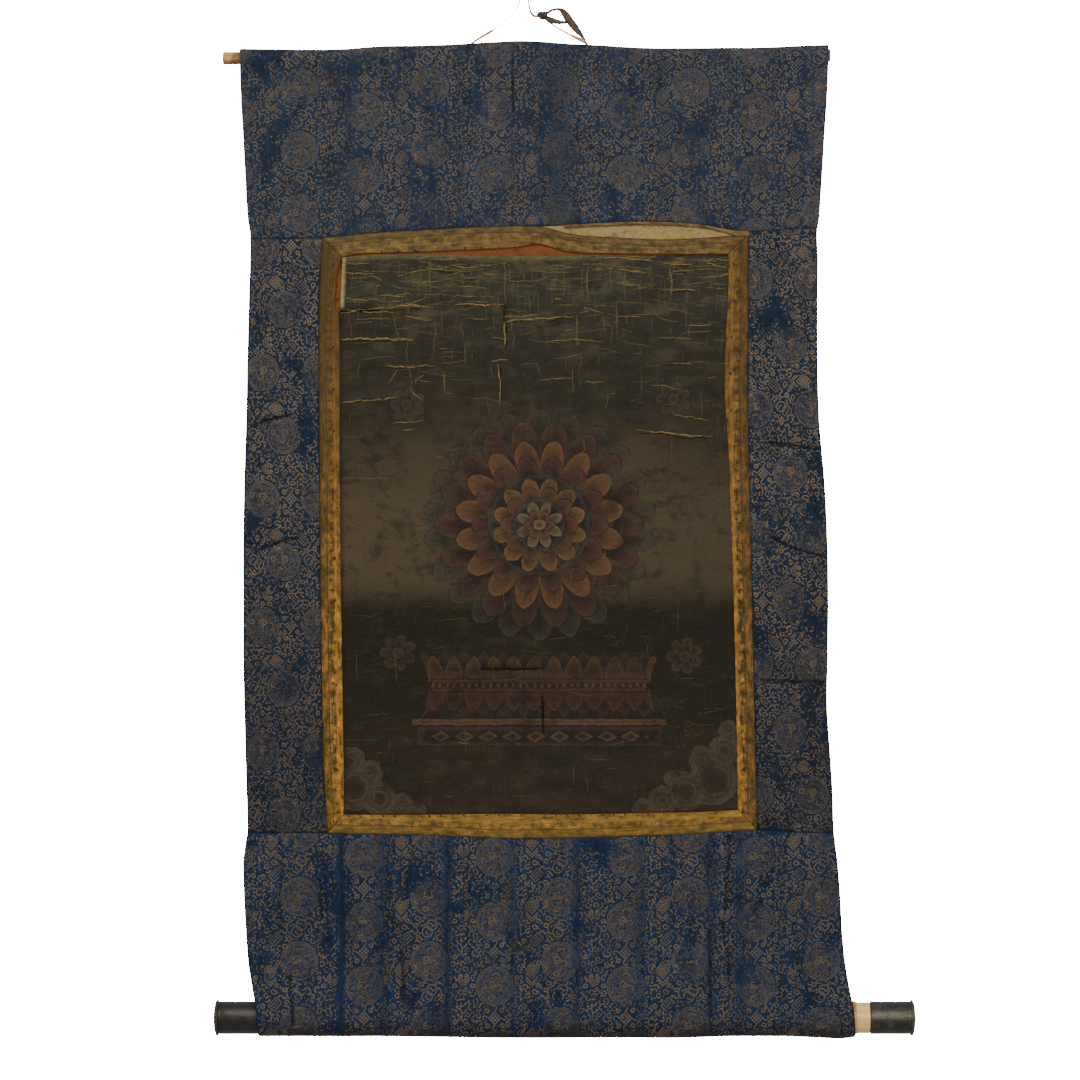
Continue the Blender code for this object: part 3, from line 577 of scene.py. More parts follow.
def new_node(tree, kind, settings, values):
    """Add a node: its settings first, then a value or a link for each input that is named."""
    made = tree.nodes.new(kind)
    for key, value in dict(settings).items():
        setattr(made, key, value)
    for key, value in dict(values).items():
        value = getattr(value, "socket", value)
        if isinstance(value, bpy.types.NodeSocket):
            tree.links.new(value, made.inputs[key])
        else:
            made.inputs[key].default_value = value
    return made


class Tree:
    """A Geometry Nodes tree with named inputs."""

    def __init__(self, name, inputs):
        self.group = bpy.data.node_groups.new(name, "GeometryNodeTree")
        face = self.group.interface
        face.new_socket("Geometry", in_out="INPUT", socket_type="NodeSocketGeometry")
        self.names = {}
        for label, kind, value in inputs:
            socket = face.new_socket(label, in_out="INPUT", socket_type=kind)
            socket.default_value = value
            self.names[label] = socket.identifier
        face.new_socket("Geometry", in_out="OUTPUT", socket_type="NodeSocketGeometry")
        self.given = self.group.nodes.new("NodeGroupInput").outputs
        self.result = self.group.nodes.new("NodeGroupOutput").inputs[0]

    def node(self, kind, settings=(), values=(), out=0):
        return new_node(self.group, kind, settings, values).outputs[out]

    def maths(self, operation, first, second):
        return self.node("ShaderNodeMath", {"operation": operation}, {0: first, 1: second})

    def chance(self, low, high, seed):
        """A random number for each place."""
        values = {2: low, 3: high, "Seed": seed}
        return self.node("FunctionNodeRandomValue", {"data_type": "FLOAT"}, values, out=1)

    def finish(self, geometry, surface):
        """End the tree with real geometry in one material."""
        real = self.node("GeometryNodeRealizeInstances", values={"Geometry": geometry})
        done = self.node("GeometryNodeSetMaterial", values={"Geometry": real, "Material": surface})
        self.group.links.new(done, self.result)
        return self

    def run(self, source, values=()):
        """The tree's result on a mesh, as a plain mesh."""
        carrier = bpy.data.objects.new("carrier", source)
        bpy.context.scene.collection.objects.link(carrier)
        modifier = carrier.modifiers.new("repeat", "NODES")
        modifier.node_group = self.group
        for label, value in dict(values).items():
            modifier[self.names[label]] = value
        bpy.context.view_layer.update()
        graph = bpy.context.evaluated_depsgraph_get()
        mesh = bpy.data.meshes.new_from_object(carrier.evaluated_get(graph), depsgraph=graph)
        carrier.modifiers.remove(modifier)
        bpy.data.objects.remove(carrier)
        return mesh


def repeat_tree(surface):
    """One repeat of a woven figure set out in columns and rows."""
    tree = Tree("woven repeat", (
        ("Repeat across", "NodeSocketFloat", 1), ("Repeat down", "NodeSocketFloat", 1),
        ("Columns", "NodeSocketInt", 2), ("Rows", "NodeSocketInt", 2),
    ))

    def span(step, count):
        return tree.maths("MULTIPLY", tree.given[step], tree.maths("SUBTRACT", tree.given[count], 1))

    grid = tree.node("GeometryNodeMeshGrid", values={
        "Size X": span("Repeat across", "Columns"), "Size Y": span("Repeat down", "Rows"),
        "Vertices X": tree.given["Columns"], "Vertices Y": tree.given["Rows"],
    })
    set_out = tree.node("GeometryNodeInstanceOnPoints", values={
        "Points": grid, "Instance": tree.given["Geometry"],
    })
    return tree.finish(set_out, surface)


def arrays_of(mesh, *names):
    """A mesh's points, its faces and the marks on its points."""
    points = np.empty(3 * len(mesh.vertices))
    mesh.vertices.foreach_get("co", points)
    faces = np.array([tuple(face.vertices) for face in mesh.polygons])
    marks = {name: np.empty(len(mesh.vertices), np.float32) for name in names}
    for name, values in marks.items():
        mesh.attributes[name].data.foreach_get("value", values)
    return points.reshape(-1, 3), faces, marks


def lay_figure(name, cloth, points, faces, marks, weave, materials, slot, lift, margin=0.9):
    """Strokes given at x and drop, laid on a cloth and cut off near its edges."""
    x, drop = points[:, 0], points[:, 1]
    left, right, upper, lower = cloth.edges
    inside = (x > left(drop) + margin) & (x < right(drop) - margin)
    inside &= (drop > upper(x) + margin) & (drop < lower(x) - margin)
    faces = faces[inside[faces].all(1)]
    used, flat = np.unique(faces, return_inverse=True)
    faces = flat.reshape(faces.shape)
    x, drop = x[used], drop[used]
    placed = cloth.lay(x, drop, lift)
    corner = placed[faces[:, :3]]
    facing = np.cross(corner[:, 1] - corner[:, 0], corner[:, 2] - corner[:, 0])
    outward = cloth.lay(x, drop, lift + 1)[faces[:, 0]] - corner[:, 0]
    away = np.einsum("ij,ij->i", facing, outward) < 0
    faces[away] = faces[away][:, ::-1]
    marks = {key: values[used] for key, values in marks.items()}
    # the soot mark is the share of painted shade in the sharp creases
    mesh = mesh_of(name, placed, faces, np.stack(weave(x, drop), -1), soot=crease_shade_share(x, drop), **marks)
    return add_piece(name, mesh, materials, slot)


# ---- finishes ----

LIGHT = 1.9    # brightness of white cloth in the scene's light
SEEN = (2, 6, 15, 25, 41, 64, 95, 135, 169, 196, 217, 232)
GIVEN = (0.002, 0.004, 0.008, 0.015, 0.03, 0.06, 0.12, 0.25, 0.5, 1, 2, 4)


def dye(red, green, blue, light=None):
    """The dye that is seen as this colour, 0 to 255, in the scene's light."""
    given = np.exp(np.interp((red, green, blue), SEEN, np.log(GIVEN))) / (light or LIGHT)
    return (*(float(min(value, 0.9)) for value in given), 1)


def toned(colour, by):
    """A dye for a colour made brighter or darker."""
    return dye(*(by * part for part in colour))


class Wire:
    """A value or a colour on its way through a material."""

    def __init__(self, tree, socket=None):
        self.tree, self.socket = tree, socket

    def node(self, kind, settings=(), values=(), out=0):
        return Wire(self.tree, new_node(self.tree, kind, settings, values).outputs[out])

    def maths(self, operation, *values, clamp=False):
        settings = {"operation": operation, "use_clamp": clamp}
        return self.node("ShaderNodeMath", settings, dict(enumerate(values)))

    def __add__(self, other): return self.maths("ADD", self, other)
    def __radd__(self, other): return self.maths("ADD", other, self)
    def __sub__(self, other): return self.maths("SUBTRACT", self, other)
    def __rsub__(self, other): return self.maths("SUBTRACT", other, self)
    def __mul__(self, other): return self.maths("MULTIPLY", self, other)
    def __rmul__(self, other): return self.maths("MULTIPLY", other, self)
    def __truediv__(self, other): return self.maths("DIVIDE", self, other)
    def __pow__(self, other): return self.maths("POWER", self, other)
    def __neg__(self): return self.maths("MULTIPLY", self, -1)
    def __abs__(self): return self.maths("ABSOLUTE", self)

    def clamp(self): return self.maths("ADD", self, 0, clamp=True)
    def least(self, other): return self.maths("MINIMUM", self, other)
    def most(self, other): return self.maths("MAXIMUM", self, other)
    def part(self): return self.maths("FRACT", self)
    def sine(self): return self.maths("SINE", self)
    def angle(self, across): return self.maths("ARCTAN2", self, across)

    def step(self, low, high):
        """0 below low, 1 above high and soft between; low may be above high."""
        settings = {"interpolation_type": "SMOOTHSTEP"}
        return self.node("ShaderNodeMapRange", settings, {0: self, 1: low, 2: high})

    def near(self, value, reach):
        """1 at a value, falling to 0 a reach away from it."""
        return abs(self - value).step(reach, 0)

    def pick(self, none, full):
        """A colour between two, by this share."""
        return self.node("ShaderNodeMix", {"data_type": "RGBA"}, {0: self, 6: none, 7: full}, 2)

    def times(self, colour, by):
        settings = {"data_type": "RGBA", "blend_type": "MULTIPLY"}
        return self.node("ShaderNodeMix", settings, {0: self, 6: colour, 7: by}, 2)

    def scaled(self, *size):
        return self.node("ShaderNodeVectorMath", {"operation": "MULTIPLY"}, {0: self, 1: size})

    def moved(self, *by):
        return self.node("ShaderNodeVectorMath", {"operation": "ADD"}, {0: self, 1: by})

    def noise(self, size, detail=2, rough=0.5, warp=0):
        """Soft noise about 0.5 over this vector, with this size in the vector's own measure."""
        return self.node("ShaderNodeTexNoise", (), {
            "Vector": self, "Scale": 1 / size, "Detail": detail, "Roughness": rough, "Distortion": warp,
        })

    def split(self):
        node = self.node("ShaderNodeSeparateXYZ", (), {0: self})
        return [Wire(self.tree, socket) for socket in node.socket.node.outputs]


class Finish:
    """A material with its places on the cloth and in the object, in mm."""

    def __init__(self, name):
        self.material = bpy.data.materials.new(name)
        self.material.use_nodes = True
        self.tree = self.material.node_tree
        self.shader = self.tree.nodes["Principled BSDF"]
        start = Wire(self.tree)
        self.place = start.node("ShaderNodeTexCoord", out=3).scaled(1000, 1000, 1000)
        self.x, self.depth, up = self.place.split()
        self.drop = -up

    def cloth(self):
        """Place in the weave, in mm: a vector and its two parts."""
        place = Wire(self.tree).node("ShaderNodeUVMap", {"uv_map": "cloth"})
        across, along, _ = place.split()
        return place, across, along

    def mark(self, name):
        """A number that the mesh carries on its points."""
        return Wire(self.tree).node("ShaderNodeAttribute", {"attribute_name": name}, out=2)

    def crease_shaded(self, colour, soot):
        """The colour with painted shade in the cloth's sharp creases, where the soot mark is high."""
        ragged = self.place.scaled(1, 1, 0.6).noise(3.6, 4, 0.7) - 0.5
        return ((self.mark("soot") + ragged * 1.3).step(0.22, 1) * 0.85).pick(colour, soot)

    def done(self, colour, roughness=0.8, height=None, relief_depth=0.3, gloss=0.05, **plain):
        """Link colour and roughness, turn a height in mm into bump, and set the plain sockets."""
        for key, value in (("Base Color", colour), ("Roughness", roughness)):
            if isinstance(value, Wire):
                self.tree.links.new(value.socket, self.shader.inputs[key])
            else:
                self.shader.inputs[key].default_value = value
        if height is not None:
            bump = height.node("ShaderNodeBump", (), {
                "Strength": 1, "Distance": relief_depth * MM, "Height": height,
            })
            self.tree.links.new(bump.socket, self.shader.inputs["Normal"])
        self.shader.inputs["Specular IOR Level"].default_value = gloss
        for key, value in plain.items():
            self.shader.inputs[key.replace("_", " ")].default_value = value
        return self.material


WORN_BANDS = (  # x, half width, share worn; the first rows for the heading, the rest for the foot
    ((36, 34, 0.55), (-70, 9, 0.4), (150, 12, 0.35), (-190, 10, 0.35)),
    ((-200, 7, 0.95), (-154, 19, 0.5), (-84, 11, 0.8), (-12, 10, 0.5), (58, 10, 0.55),
     (128, 11, 0.5), (205, 12, 0.6), (236, 12, 0.5), (282, 8, 0.3)),
)


def sound_thread(finish, bands):
    """1 where the brocade's figure is whole, down to 0 where it has worn away."""
    patches = finish.place.scaled(1, 1, 0.75).noise(42, 3, 0.6)
    specks = finish.place.noise(3.4, 2, 0.6)
    whole = (specks + (patches - 0.5) * 1.5).step(0.28, 0.42)
    if bands is not None:
        ragged = finish.place.scaled(1, 1, 0.2).noise(9, 2) - 0.5
        at, bare = finish.x + ragged * 9, (specks + 0.55).clamp()
        for x, half_width, share in WORN_BANDS[bands]:
            whole = whole * (1 - at.near(x, half_width) * bare * share)
    return whole


def dimmed(finish, colour, bands):
    """The side panels' colour, dimmer towards their foot."""
    return colour if bands is not None else (finish.drop.step(560, 880) * 0.3).pick(colour, dye(17, 19, 26))


def navy(finish, tint):
    """Blue satin ground: threads, streaks along the warp whose light ones are painted satin sheen, soot and
    brown stains.
    """
    # streaks along the warp: the light ones are painted satin sheen
    streaks = finish.place.scaled(1, 1, 0.06).noise(5, 3, 0.7)
    red, green, blue = tint
    colour = streaks.step(0.3, 0.75).pick(toned(tint, 0.7), dye(1.15 * red, 1.22 * green, 1.24 * blue))
    faded = finish.place.noise(11, 3, 0.6)
    colour = (faded.step(0.5, 0.68) * 0.6).pick(colour, dye(1.6 * red, 0.95 * green, 0.92 * blue))
    stains = finish.place.noise(26, 5, 0.7)
    colour = (stains.step(0.53, 0.7) * 0.75).pick(colour, dye(47, 43, 36))
    return (stains.step(0.44, 0.32) * 0.65).pick(colour, dye(13, 17, 26))


def brocade(name, bands, tint, warp_down):
    finish = Finish(name)
    place, across, along = finish.cloth()
    whole = sound_thread(finish, bands)
    roundel = None
    for at_across, at_along in ((0, 0), (71.5, 26.4)):
        run_across = ((across - at_across) / REPEAT[0] + 0.5).part() - 0.5
        run_along = ((along - at_along) / REPEAT[1] + 0.5).part() - 0.5
        away = ((run_across * REPEAT[0]) ** 2 + (run_along * REPEAT[1]) ** 2) ** 0.5
        inside = away.step(20.6, 19.6)
        roundel = inside if roundel is None else roundel.most(inside)
    worms = abs(place.noise(3.2, 2, 0.6, 1.2) - 0.5).step(0.07, 0.035)
    flecks = place.noise(1.3, 2, 0.7).step(0.5, 0.6)
    gaps = place.noise(5, 3, 0.65).step(0.56, 0.46)
    ground = (roundel * 0.15).pick(navy(finish, tint), dye(36, 37, 42))
    tangle = roundel * (0.9 * worms + 0.35 * flecks) * (0.6 + 0.4 * gaps)
    fill = (tangle + (1 - roundel) * 0.2 * flecks) * (0.25 + 0.75 * whole)
    tan = place.noise(5, 2).step(0.4, 0.6).pick(dye(86, 83, 78), dye(112, 92, 68))
    colour = fill.clamp().pick(ground, tan)
    if bands == 1:                                       # a greyer band where the sleeve turns under the roller
        colour = ((finish.drop + (flecks - 0.5) * 4).step(1124, 1142) * 0.6).pick(colour, dye(36, 34, 35))
    # painted shade in the sharp creases
    colour = finish.crease_shaded(dimmed(finish, colour, bands), dye(8, 9, 13))
    ribs = ((finish.x if warp_down else finish.drop) * (2 * math.pi / 0.9)).sine() * 0.25
    cockle = finish.place.noise(7, 3, 0.6) * 1.3
    return finish.done(colour, 0.62, ribs + cockle, 0.3)


def brocade_thread(name, bands, tint, bright):
    """Flat gilt-paper and silk threads of the figure, tarnished to tan."""
    finish = Finish(name)
    place, across, _ = finish.cloth()
    side, fine = abs(finish.mark("side")), place.noise(1.2, 3, 0.75)
    colour = finish.mark("tone").pick(toned((82, 86, 82), bright), toned((128, 105, 68), bright))
    colour = (finish.place.noise(20, 3).step(0.45, 0.68) * 0.75).pick(colour, dye(80, 68, 50))
    colour = (fine.step(0.5, 0.6) * 0.8).pick(colour, dye(44, 46, 54))
    colour = (fine.step(0.44, 0.34) * 0.65).pick(colour, toned((148, 132, 100), bright))
    colour = ((side + (fine - 0.5) * 0.8).step(0.42, 0.12) * 0.55).pick(colour, dye(40, 42, 50))
    sound = sound_thread(finish, bands) * (side + (place.noise(0.9, 2) - 0.5) * 1.5).step(1.25, 0.8)
    colour = sound.pick(toned(tint, 0.6), colour)
    threads = (across * (2 * math.pi / 0.7)).sine()
    # painted shade in the sharp creases
    colour = finish.crease_shaded(dimmed(finish, colour, bands), dye(14, 14, 16))
    return finish.done(colour, 0.55, threads * 0.4 + place.noise(1.6, 2), 0.12, 0.1)


def brocade_reverse(name):
    """Back of the brocade: floats and paste, brown over blue."""
    finish = Finish(name)
    floats = finish.place.scaled(0.25, 1, 1.6).noise(1.6, 2, 0.6)
    soot = finish.place.noise(36, 4, 0.6)
    colour = floats.step(0.42, 0.62).pick(dye(38, 46, 58), dye(98, 84, 66))
    colour = (soot.step(0.4, 0.7) * 0.7).pick(colour, dye(64, 56, 48))
    return finish.done(colour, 0.85, floats + finish.place.noise(8, 3), 0.35)


def gold_silk(name, tints, smudge=0, brown=0, fold=None, fade=0):
    """Border silk: tints from dark to bright, a pressed fold with a line of painted shade, soot smudges,
    painted shade along the sewn outer edge, weave and rubbed streaks.
    """
    finish = Finish(name)
    place, across, along = finish.cloth()       # across the strip from its outer edge, and along it
    grain = place.scaled(1.2, 0.1, 1).noise(1.7, 3, 0.6)
    weft = place.scaled(0.22, 1.4, 1).noise(1.2, 2, 0.6)
    patches = place.scaled(1, 0.5, 1).noise(8, 4, 0.65)
    share = grain * 0.6 + weft * 0.5 + patches * 1.1 - 0.6
    dark, low, high, bright = (dye(*tint) for tint in tints)
    colour = share.step(0.3, 0.44).pick(dark, low)
    colour = share.step(0.42, 0.56).pick(colour, high)
    colour = share.step(0.56, 0.72).pick(colour, bright)
    if fold:
        colour = (across.step(fold + 0.8, fold - 0.8) * brown).pick(colour, dark)
        # a dark line of painted shade along the pressed fold
        fold_shade = (across + (patches - 0.5) * 1.6).near(fold, 0.9) * grain.step(0.34, 0.48)
        colour = (fold_shade * 0.8).pick(colour, dye(40, 28, 14))
        colour = ((across + (patches - 0.5) * 1.6).near(fold + 8.6, 2.2) * 0.3).pick(colour, bright)
    if smudge:
        at = along / 11 + place.noise(19, 1) * 1.5
        rows = at.part().near(0.5, 0.34) * (across + (patches - 0.5) * 9).near(12.5, 6)
        spots = rows * place.noise(7, 2).step(0.38, 0.5) + place.noise(3.2, 3, 0.7).step(0.6, 0.68) * 0.7
        colour = (spots.clamp() * smudge).pick(colour, dye(42, 29, 15))
    if fade:
        colour = (finish.drop.step(860, 270) * fade * (patches * 1.3 + 0.35)).clamp().pick(colour, dark)
    # painted shade along the sewn outer edge, where the strip turns into its seam
    worn = across.step(1.6, 0.2) * 0.6
    colour = worn.pick(colour, dye(40, 30, 18))
    return finish.done(colour, 0.5, grain + weft * 0.7 + patches, 0.35, 0.1)


def plain_cotton(name, pale, dull, stain, fibre=0.9, weave=0.8):
    """Plain weave cotton with slubs, grey smudges and stains."""
    finish = Finish(name)
    across = finish.place.scaled(0.3, 1, 1).noise(fibre, 3, 0.6)
    down = finish.place.scaled(1, 1, 0.3).noise(fibre, 3, 0.6)
    smudges = finish.place.scaled(0.6, 1, 1).noise(9, 4, 0.65)
    colour = (across + down).step(0.85, 1.15).pick(dye(*dull), dye(*pale))
    colour = (smudges.step(0.5, 0.72) * 0.7).pick(colour, dye(*stain))
    return finish.done(colour, 0.92, across + down + smudges, 0.3 * weave)


def petal_edge(share):
    """Height of a petal's edge, 1 at its tip, for a place across a row of petals counted in petals."""
    aside = abs(share.part() - 0.5) * 2
    return (1 - aside ** 2.4).most(0) ** 0.5 - aside * 0.16


ROSE = (17, 584)       # middle of the painted lotus rose: x, drop
ROSE_RINGS = (             # petals, inner and outer radius, turn, fill, strength
    (22, 102, 128, 0, (49, 47, 37), 0.7), (18, 84, 115, 0.5, (58, 37, 32), 0.85),
    (16, 62, 94, 0, (92, 61, 37), 0.85), (14, 52, 76, 0.5, (62, 36, 32), 0.9),
    (0, 56, 56, 0, (39, 40, 37), 0.9), (12, 34, 53, 0, (98, 70, 39), 0.85),
    (10, 26, 43, 0.5, (74, 46, 34), 0.85), (0, 29, 29, 0, (38, 40, 40), 0.9),
    (8, 11, 27, 0, (92, 78, 56), 0.85), (6, 7, 17, 0.5, (78, 50, 36), 0.85),
    (0, 7, 7, 0, (98, 78, 50), 0.85),
)
PETAL_ROWS = (             # line of the tips, line of the feet, turn, fill
    (722, 752, 0.5, (46, 33, 26)), (727, 757, 0, (66, 44, 27)),
    (795, 767, 0.5, (45, 34, 28)), (789, 763, 0, (60, 34, 28)),
)
SMALL_ROSES = ((-128, 452), (164, 446), (-138, 724), (176, 728))
CLOUD_LOBES = (            # x, drop, radius
    (-186, 872, 26), (-158, 884, 20), (-190, 844, 17), (-134, 892, 15),
    (-168, 856, 15), (-116, 898, 10), (208, 864, 28), (178, 876, 22), (220, 832, 18),
    (152, 886, 17), (196, 842, 16), (130, 895, 12), (224, 808, 12), (164, 862, 11),
)
# the first crack tone is painted shade: the black of a slit or fold line
CRACK_TONES = ((14, 11, 8), (86, 79, 48), (144, 120, 60))


def aged_painting(name):
    """Distemper gone dark: a lotus rose over a petal base on a smoky ground, rubbed and cracked."""
    finish = Finish(name)
    _, from_left, from_top = finish.cloth()
    shaky, patchy = finish.place.noise(11, 3, 0.6), finish.place.moved(90, 0, 0).noise(11, 3, 0.6)
    x, drop = finish.x + (shaky - 0.5) * 5, finish.drop + (patchy - 0.5) * 5
    cloud = finish.place.scaled(0.6, 1, 1).noise(55, 4, 0.6)
    damp = finish.place.scaled(0.45, 1, 1).noise(17, 5, 0.68)
    high = drop.step(450, 300)
    height_at = drop + (cloud - 0.5) * 90
    ground = height_at.step(300, 420).pick(dye(45, 43, 33), dye(41, 37, 26))
    ground = (height_at.step(430, 580) * (1 - x.step(60, 200) * 0.25)).pick(ground, dye(80, 64, 42))
    ground = (drop + (cloud - 0.5) * 30 + (damp - 0.5) * 24).step(640, 682).pick(ground, dye(32, 27, 16))
    ground = height_at.step(760, 860).pick(ground, dye(42, 36, 25))
    ground = (damp.step(0.5, 0.66) * (0.22 + 0.6 * high)).pick(ground, dye(76, 70, 49))
    ground = (damp.step(0.47, 0.33) * 0.6).pick(ground, dye(29, 28, 24))

    broken = patchy.step(0.3, 0.52)

    def over(colour, inside, fill, strength, deep=16):
        """A painted shape, lightest along its rim, with a fine light line and a broken dark outline."""
        body = inside.step(0.5, deep).pick(toned(fill, 1.16), toned(fill, 0.6))
        colour = (inside.step(-0.6, 0.8) * strength).pick(colour, body)
        colour = (abs(inside - 2.2).step(0.9, 0.2) * broken * 0.4).pick(colour, toned(fill, 1.35))
        return (abs(inside).step(1.1, 0.3) * (0.35 + 0.4 * broken)).pick(colour, dye(27, 22, 17))

    away_x, away_drop = x - ROSE[0], drop - ROSE[1]
    away = (away_x * away_x + away_drop * away_drop) ** 0.5
    angle = away_drop.angle(away_x) / (2 * math.pi)
    painted = ground
    half = ((drop - 762) / 40) ** 2 * 12 + 122
    within = half - abs(x - ROSE[0])
    for tips, feet, turn, fill in PETAL_ROWS:
        edge_drop = petal_edge(x / 22 + turn) * (tips - feet) + feet
        inside = (drop - edge_drop) if tips < feet else (edge_drop - drop)
        inside = inside.least((feet - drop) if tips < feet else (drop - feet)).least(within)
        painted = over(painted, inside, fill, 0.85, 20)
    for top, foot, width, fill in ((753, 767, 118, (60, 37, 32)), (796, 804, 140, (80, 56, 37)),
                                   (805, 827, 134, (54, 35, 32))):
        slab = (drop - top).least(foot - drop).least(width - abs(x - ROSE[0]))
        painted = over(painted, slab, fill, 0.85, 9)
    bead = 3 - (((x / 8).part() - 0.5) * 8) ** 2 * 0.7 - abs(drop - 760)
    painted = (bead.step(0, 1.2) * within.step(0, 6) * 0.6).pick(painted, dye(92, 74, 48))
    lozenge = 7 - abs((x / 26).part() - 0.5) * 15 - abs(drop - 816)
    painted = over(painted, lozenge.least(120 - abs(x - ROSE[0])), (76, 58, 40), 0.7, 6)
    for count, inner, outer, turn, fill, strength in ROSE_RINGS:
        if count:
            share = angle * count + turn
            inside = petal_edge(share) * (outer - inner) + inner - away
            ribs = ((share * 5).part() - 0.5) ** 2
            painted = over(painted, inside, fill, strength, outer - inner)
            painted = (inside.step(1, 6) * ribs.step(0.02, 0) * 0.3).pick(painted, dye(30, 24, 18))
        else:
            painted = over(painted, outer - away, fill, strength, 8)
    for rose_x, rose_drop in SMALL_ROSES:
        small_x, small_drop = x - rose_x, drop - rose_drop
        small = (small_x * small_x + small_drop * small_drop) ** 0.5
        turn = small_drop.angle(small_x) * (7 / (2 * math.pi))
        painted = over(painted, petal_edge(turn) * 10 + 11 - small, (56, 49, 37), 0.5)
        painted = over(painted, 7 - small, (62, 42, 34), 0.55)
    lobes = None
    for lobe_x, lobe_drop, radius in CLOUD_LOBES:
        lobe = radius - ((x - lobe_x) ** 2 + (drop - lobe_drop) ** 2) ** 0.5
        lobes = lobe if lobes is None else lobes.most(lobe)
    painted = over(painted, lobes + (patchy - 0.5) * 9, (66, 58, 42), 0.6, 24)
    for depth in (5.5, 12):
        line_at = abs(lobes + (shaky - 0.5) * 9 - depth).step(1, 0.3)
        painted = (line_at * (0.15 + 0.35 * broken)).pick(painted, dye(98, 84, 58))

    rubbed = finish.place.scaled(0.7, 1, 1).noise(14, 5, 0.75).step(0.47, 0.66)
    colour = (rubbed * 0.6).pick(painted, ground)
    streaks = finish.place.scaled(0.12, 1, 1).noise(2.2, 3, 0.65)
    streaky = high * (1 - x.step(70, 170) * 0.45)
    colour = (streaks.step(0.56, 0.74) * (0.2 + 0.5 * streaky)).pick(colour, dye(88, 76, 50))
    falls = finish.place.scaled(1, 1, 0.12).noise(2.4, 3, 0.65).step(0.57, 0.76)
    colour = (falls * (0.2 + 0.35 * streaky)).pick(colour, dye(84, 78, 56))
    soot = finish.place.noise(24, 5, 0.7).step(0.5, 0.7) * 0.55
    colour = soot.pick(colour, dye(28, 24, 18))
    grain = finish.place.noise(1.3, 3, 0.7)
    colour = (grain.step(0.52, 0.72) * 0.34).pick(colour, dye(84, 72, 50))
    colour = (grain.step(0.46, 0.3) * 0.4).pick(colour, dye(24, 21, 16))
    losses = finish.place.scaled(1, 1, 0.7).noise(5, 3, 0.7)
    low_loss = x.near(0, 130) * drop.near(806, 36) * losses.step(0.62, 0.68)
    right_loss = x.near(168, 40) * drop.near(808, 46) * losses.step(0.6, 0.66)
    colour = (low_loss.most(right_loss) * 0.6).pick(colour, dye(104, 86, 52))
    # painted shade along the top and left edges, where the border silk meets the painting
    rim = from_left.step(6, 0).most(from_top.step(6, 0)) * 0.5
    colour = rim.pick(colour, dye(24, 20, 15))
    ragged = (finish.place.noise(6, 4, 0.7) - 0.5) * 7
    above = (from_top + ragged).step(7.5, 1) * x.step(170, 40) * 0.75
    beside = (from_left + ragged * 0.35).step(6, 1.6) * drop.step(349, 343) * 0.95
    pale = (streaks * 0.5 + grain * 0.6).step(0.42, 0.68)
    colour = above.pick(colour, pale.pick(dye(80, 80, 50), dye(118, 114, 70)))
    colour = beside.pick(colour, pale.pick(dye(120, 116, 74), dye(156, 148, 98)))
    # painted shade in the sharp creases
    colour = finish.crease_shaded(colour, dye(12, 10, 8))
    return finish.done(colour, 0.58, streaks * 0.5 + grain * 0.3 + cloud * 2, 0.3)


def bare_cracks(name):
    """Cracks by their tone, from a dark slit of painted shade to bare cotton, with the paint worn back over
    them.
    """
    finish = Finish(name)
    tone = finish.mark("tone")
    # tone 0 gives the painted shade of a slit or fold line
    colour = tone.step(0, 0.35).pick(dye(*CRACK_TONES[0]), dye(*CRACK_TONES[1]))
    colour = tone.step(0.5, 1).pick(colour, dye(*CRACK_TONES[2]))
    side = abs(finish.mark("side")) + (finish.place.noise(1.1, 2) - 0.5) * 1.2
    worn = finish.place.noise(2.4, 3, 0.7).step(0.48, 0.64) * 0.5
    worn = worn + finish.place.noise(12, 3).step(0.5, 0.64) * 0.4
    worn = (worn + side.step(0.7, 1.4)).clamp() * 0.8 * tone.step(0.05, 0.3)
    colour = worn.pick(colour, dye(56, 50, 36))
    return finish.done(colour, 0.85, finish.place.noise(0.9, 2), 0.15)


def rod_wood(name, pale, middle, dark, soot=0.4, ring_size=1.1, pore=0.7, cut_ends=None):
    """Turned softwood: long grain with dark pores, and patches of soot."""
    finish = Finish(name)
    warped = finish.place.scaled(0.05, 1, 1)
    rings = warped.noise(ring_size * 2.4, 3, 0.55, 0.6)
    pores = finish.place.scaled(0.06, 1, 1).noise(0.5, 2, 0.6)
    colour = rings.step(0.35, 0.62).pick(dye(*pale), dye(*middle))
    colour = (pores.step(0.56, 0.7) * pore).pick(colour, dye(*dark))
    if cut_ends:                                         # brown with handling, but for the fresh cut ends
        at = abs(finish.x) + (rings - 0.5) * 6 + (DOWEL_DROP + 2 - finish.drop) * 0.5
        colour = at.step(cut_ends + 1.2, cut_ends - 1.2).times(colour, (0.62, 0.5, 0.42, 1))
    dirt = finish.place.noise(7, 4, 0.65).step(0.46, 0.72) * soot
    colour = dirt.pick(colour, dye(*dark))
    return finish.done(colour, 0.6, rings * 0.6 + pores, 0.25, 0.12)


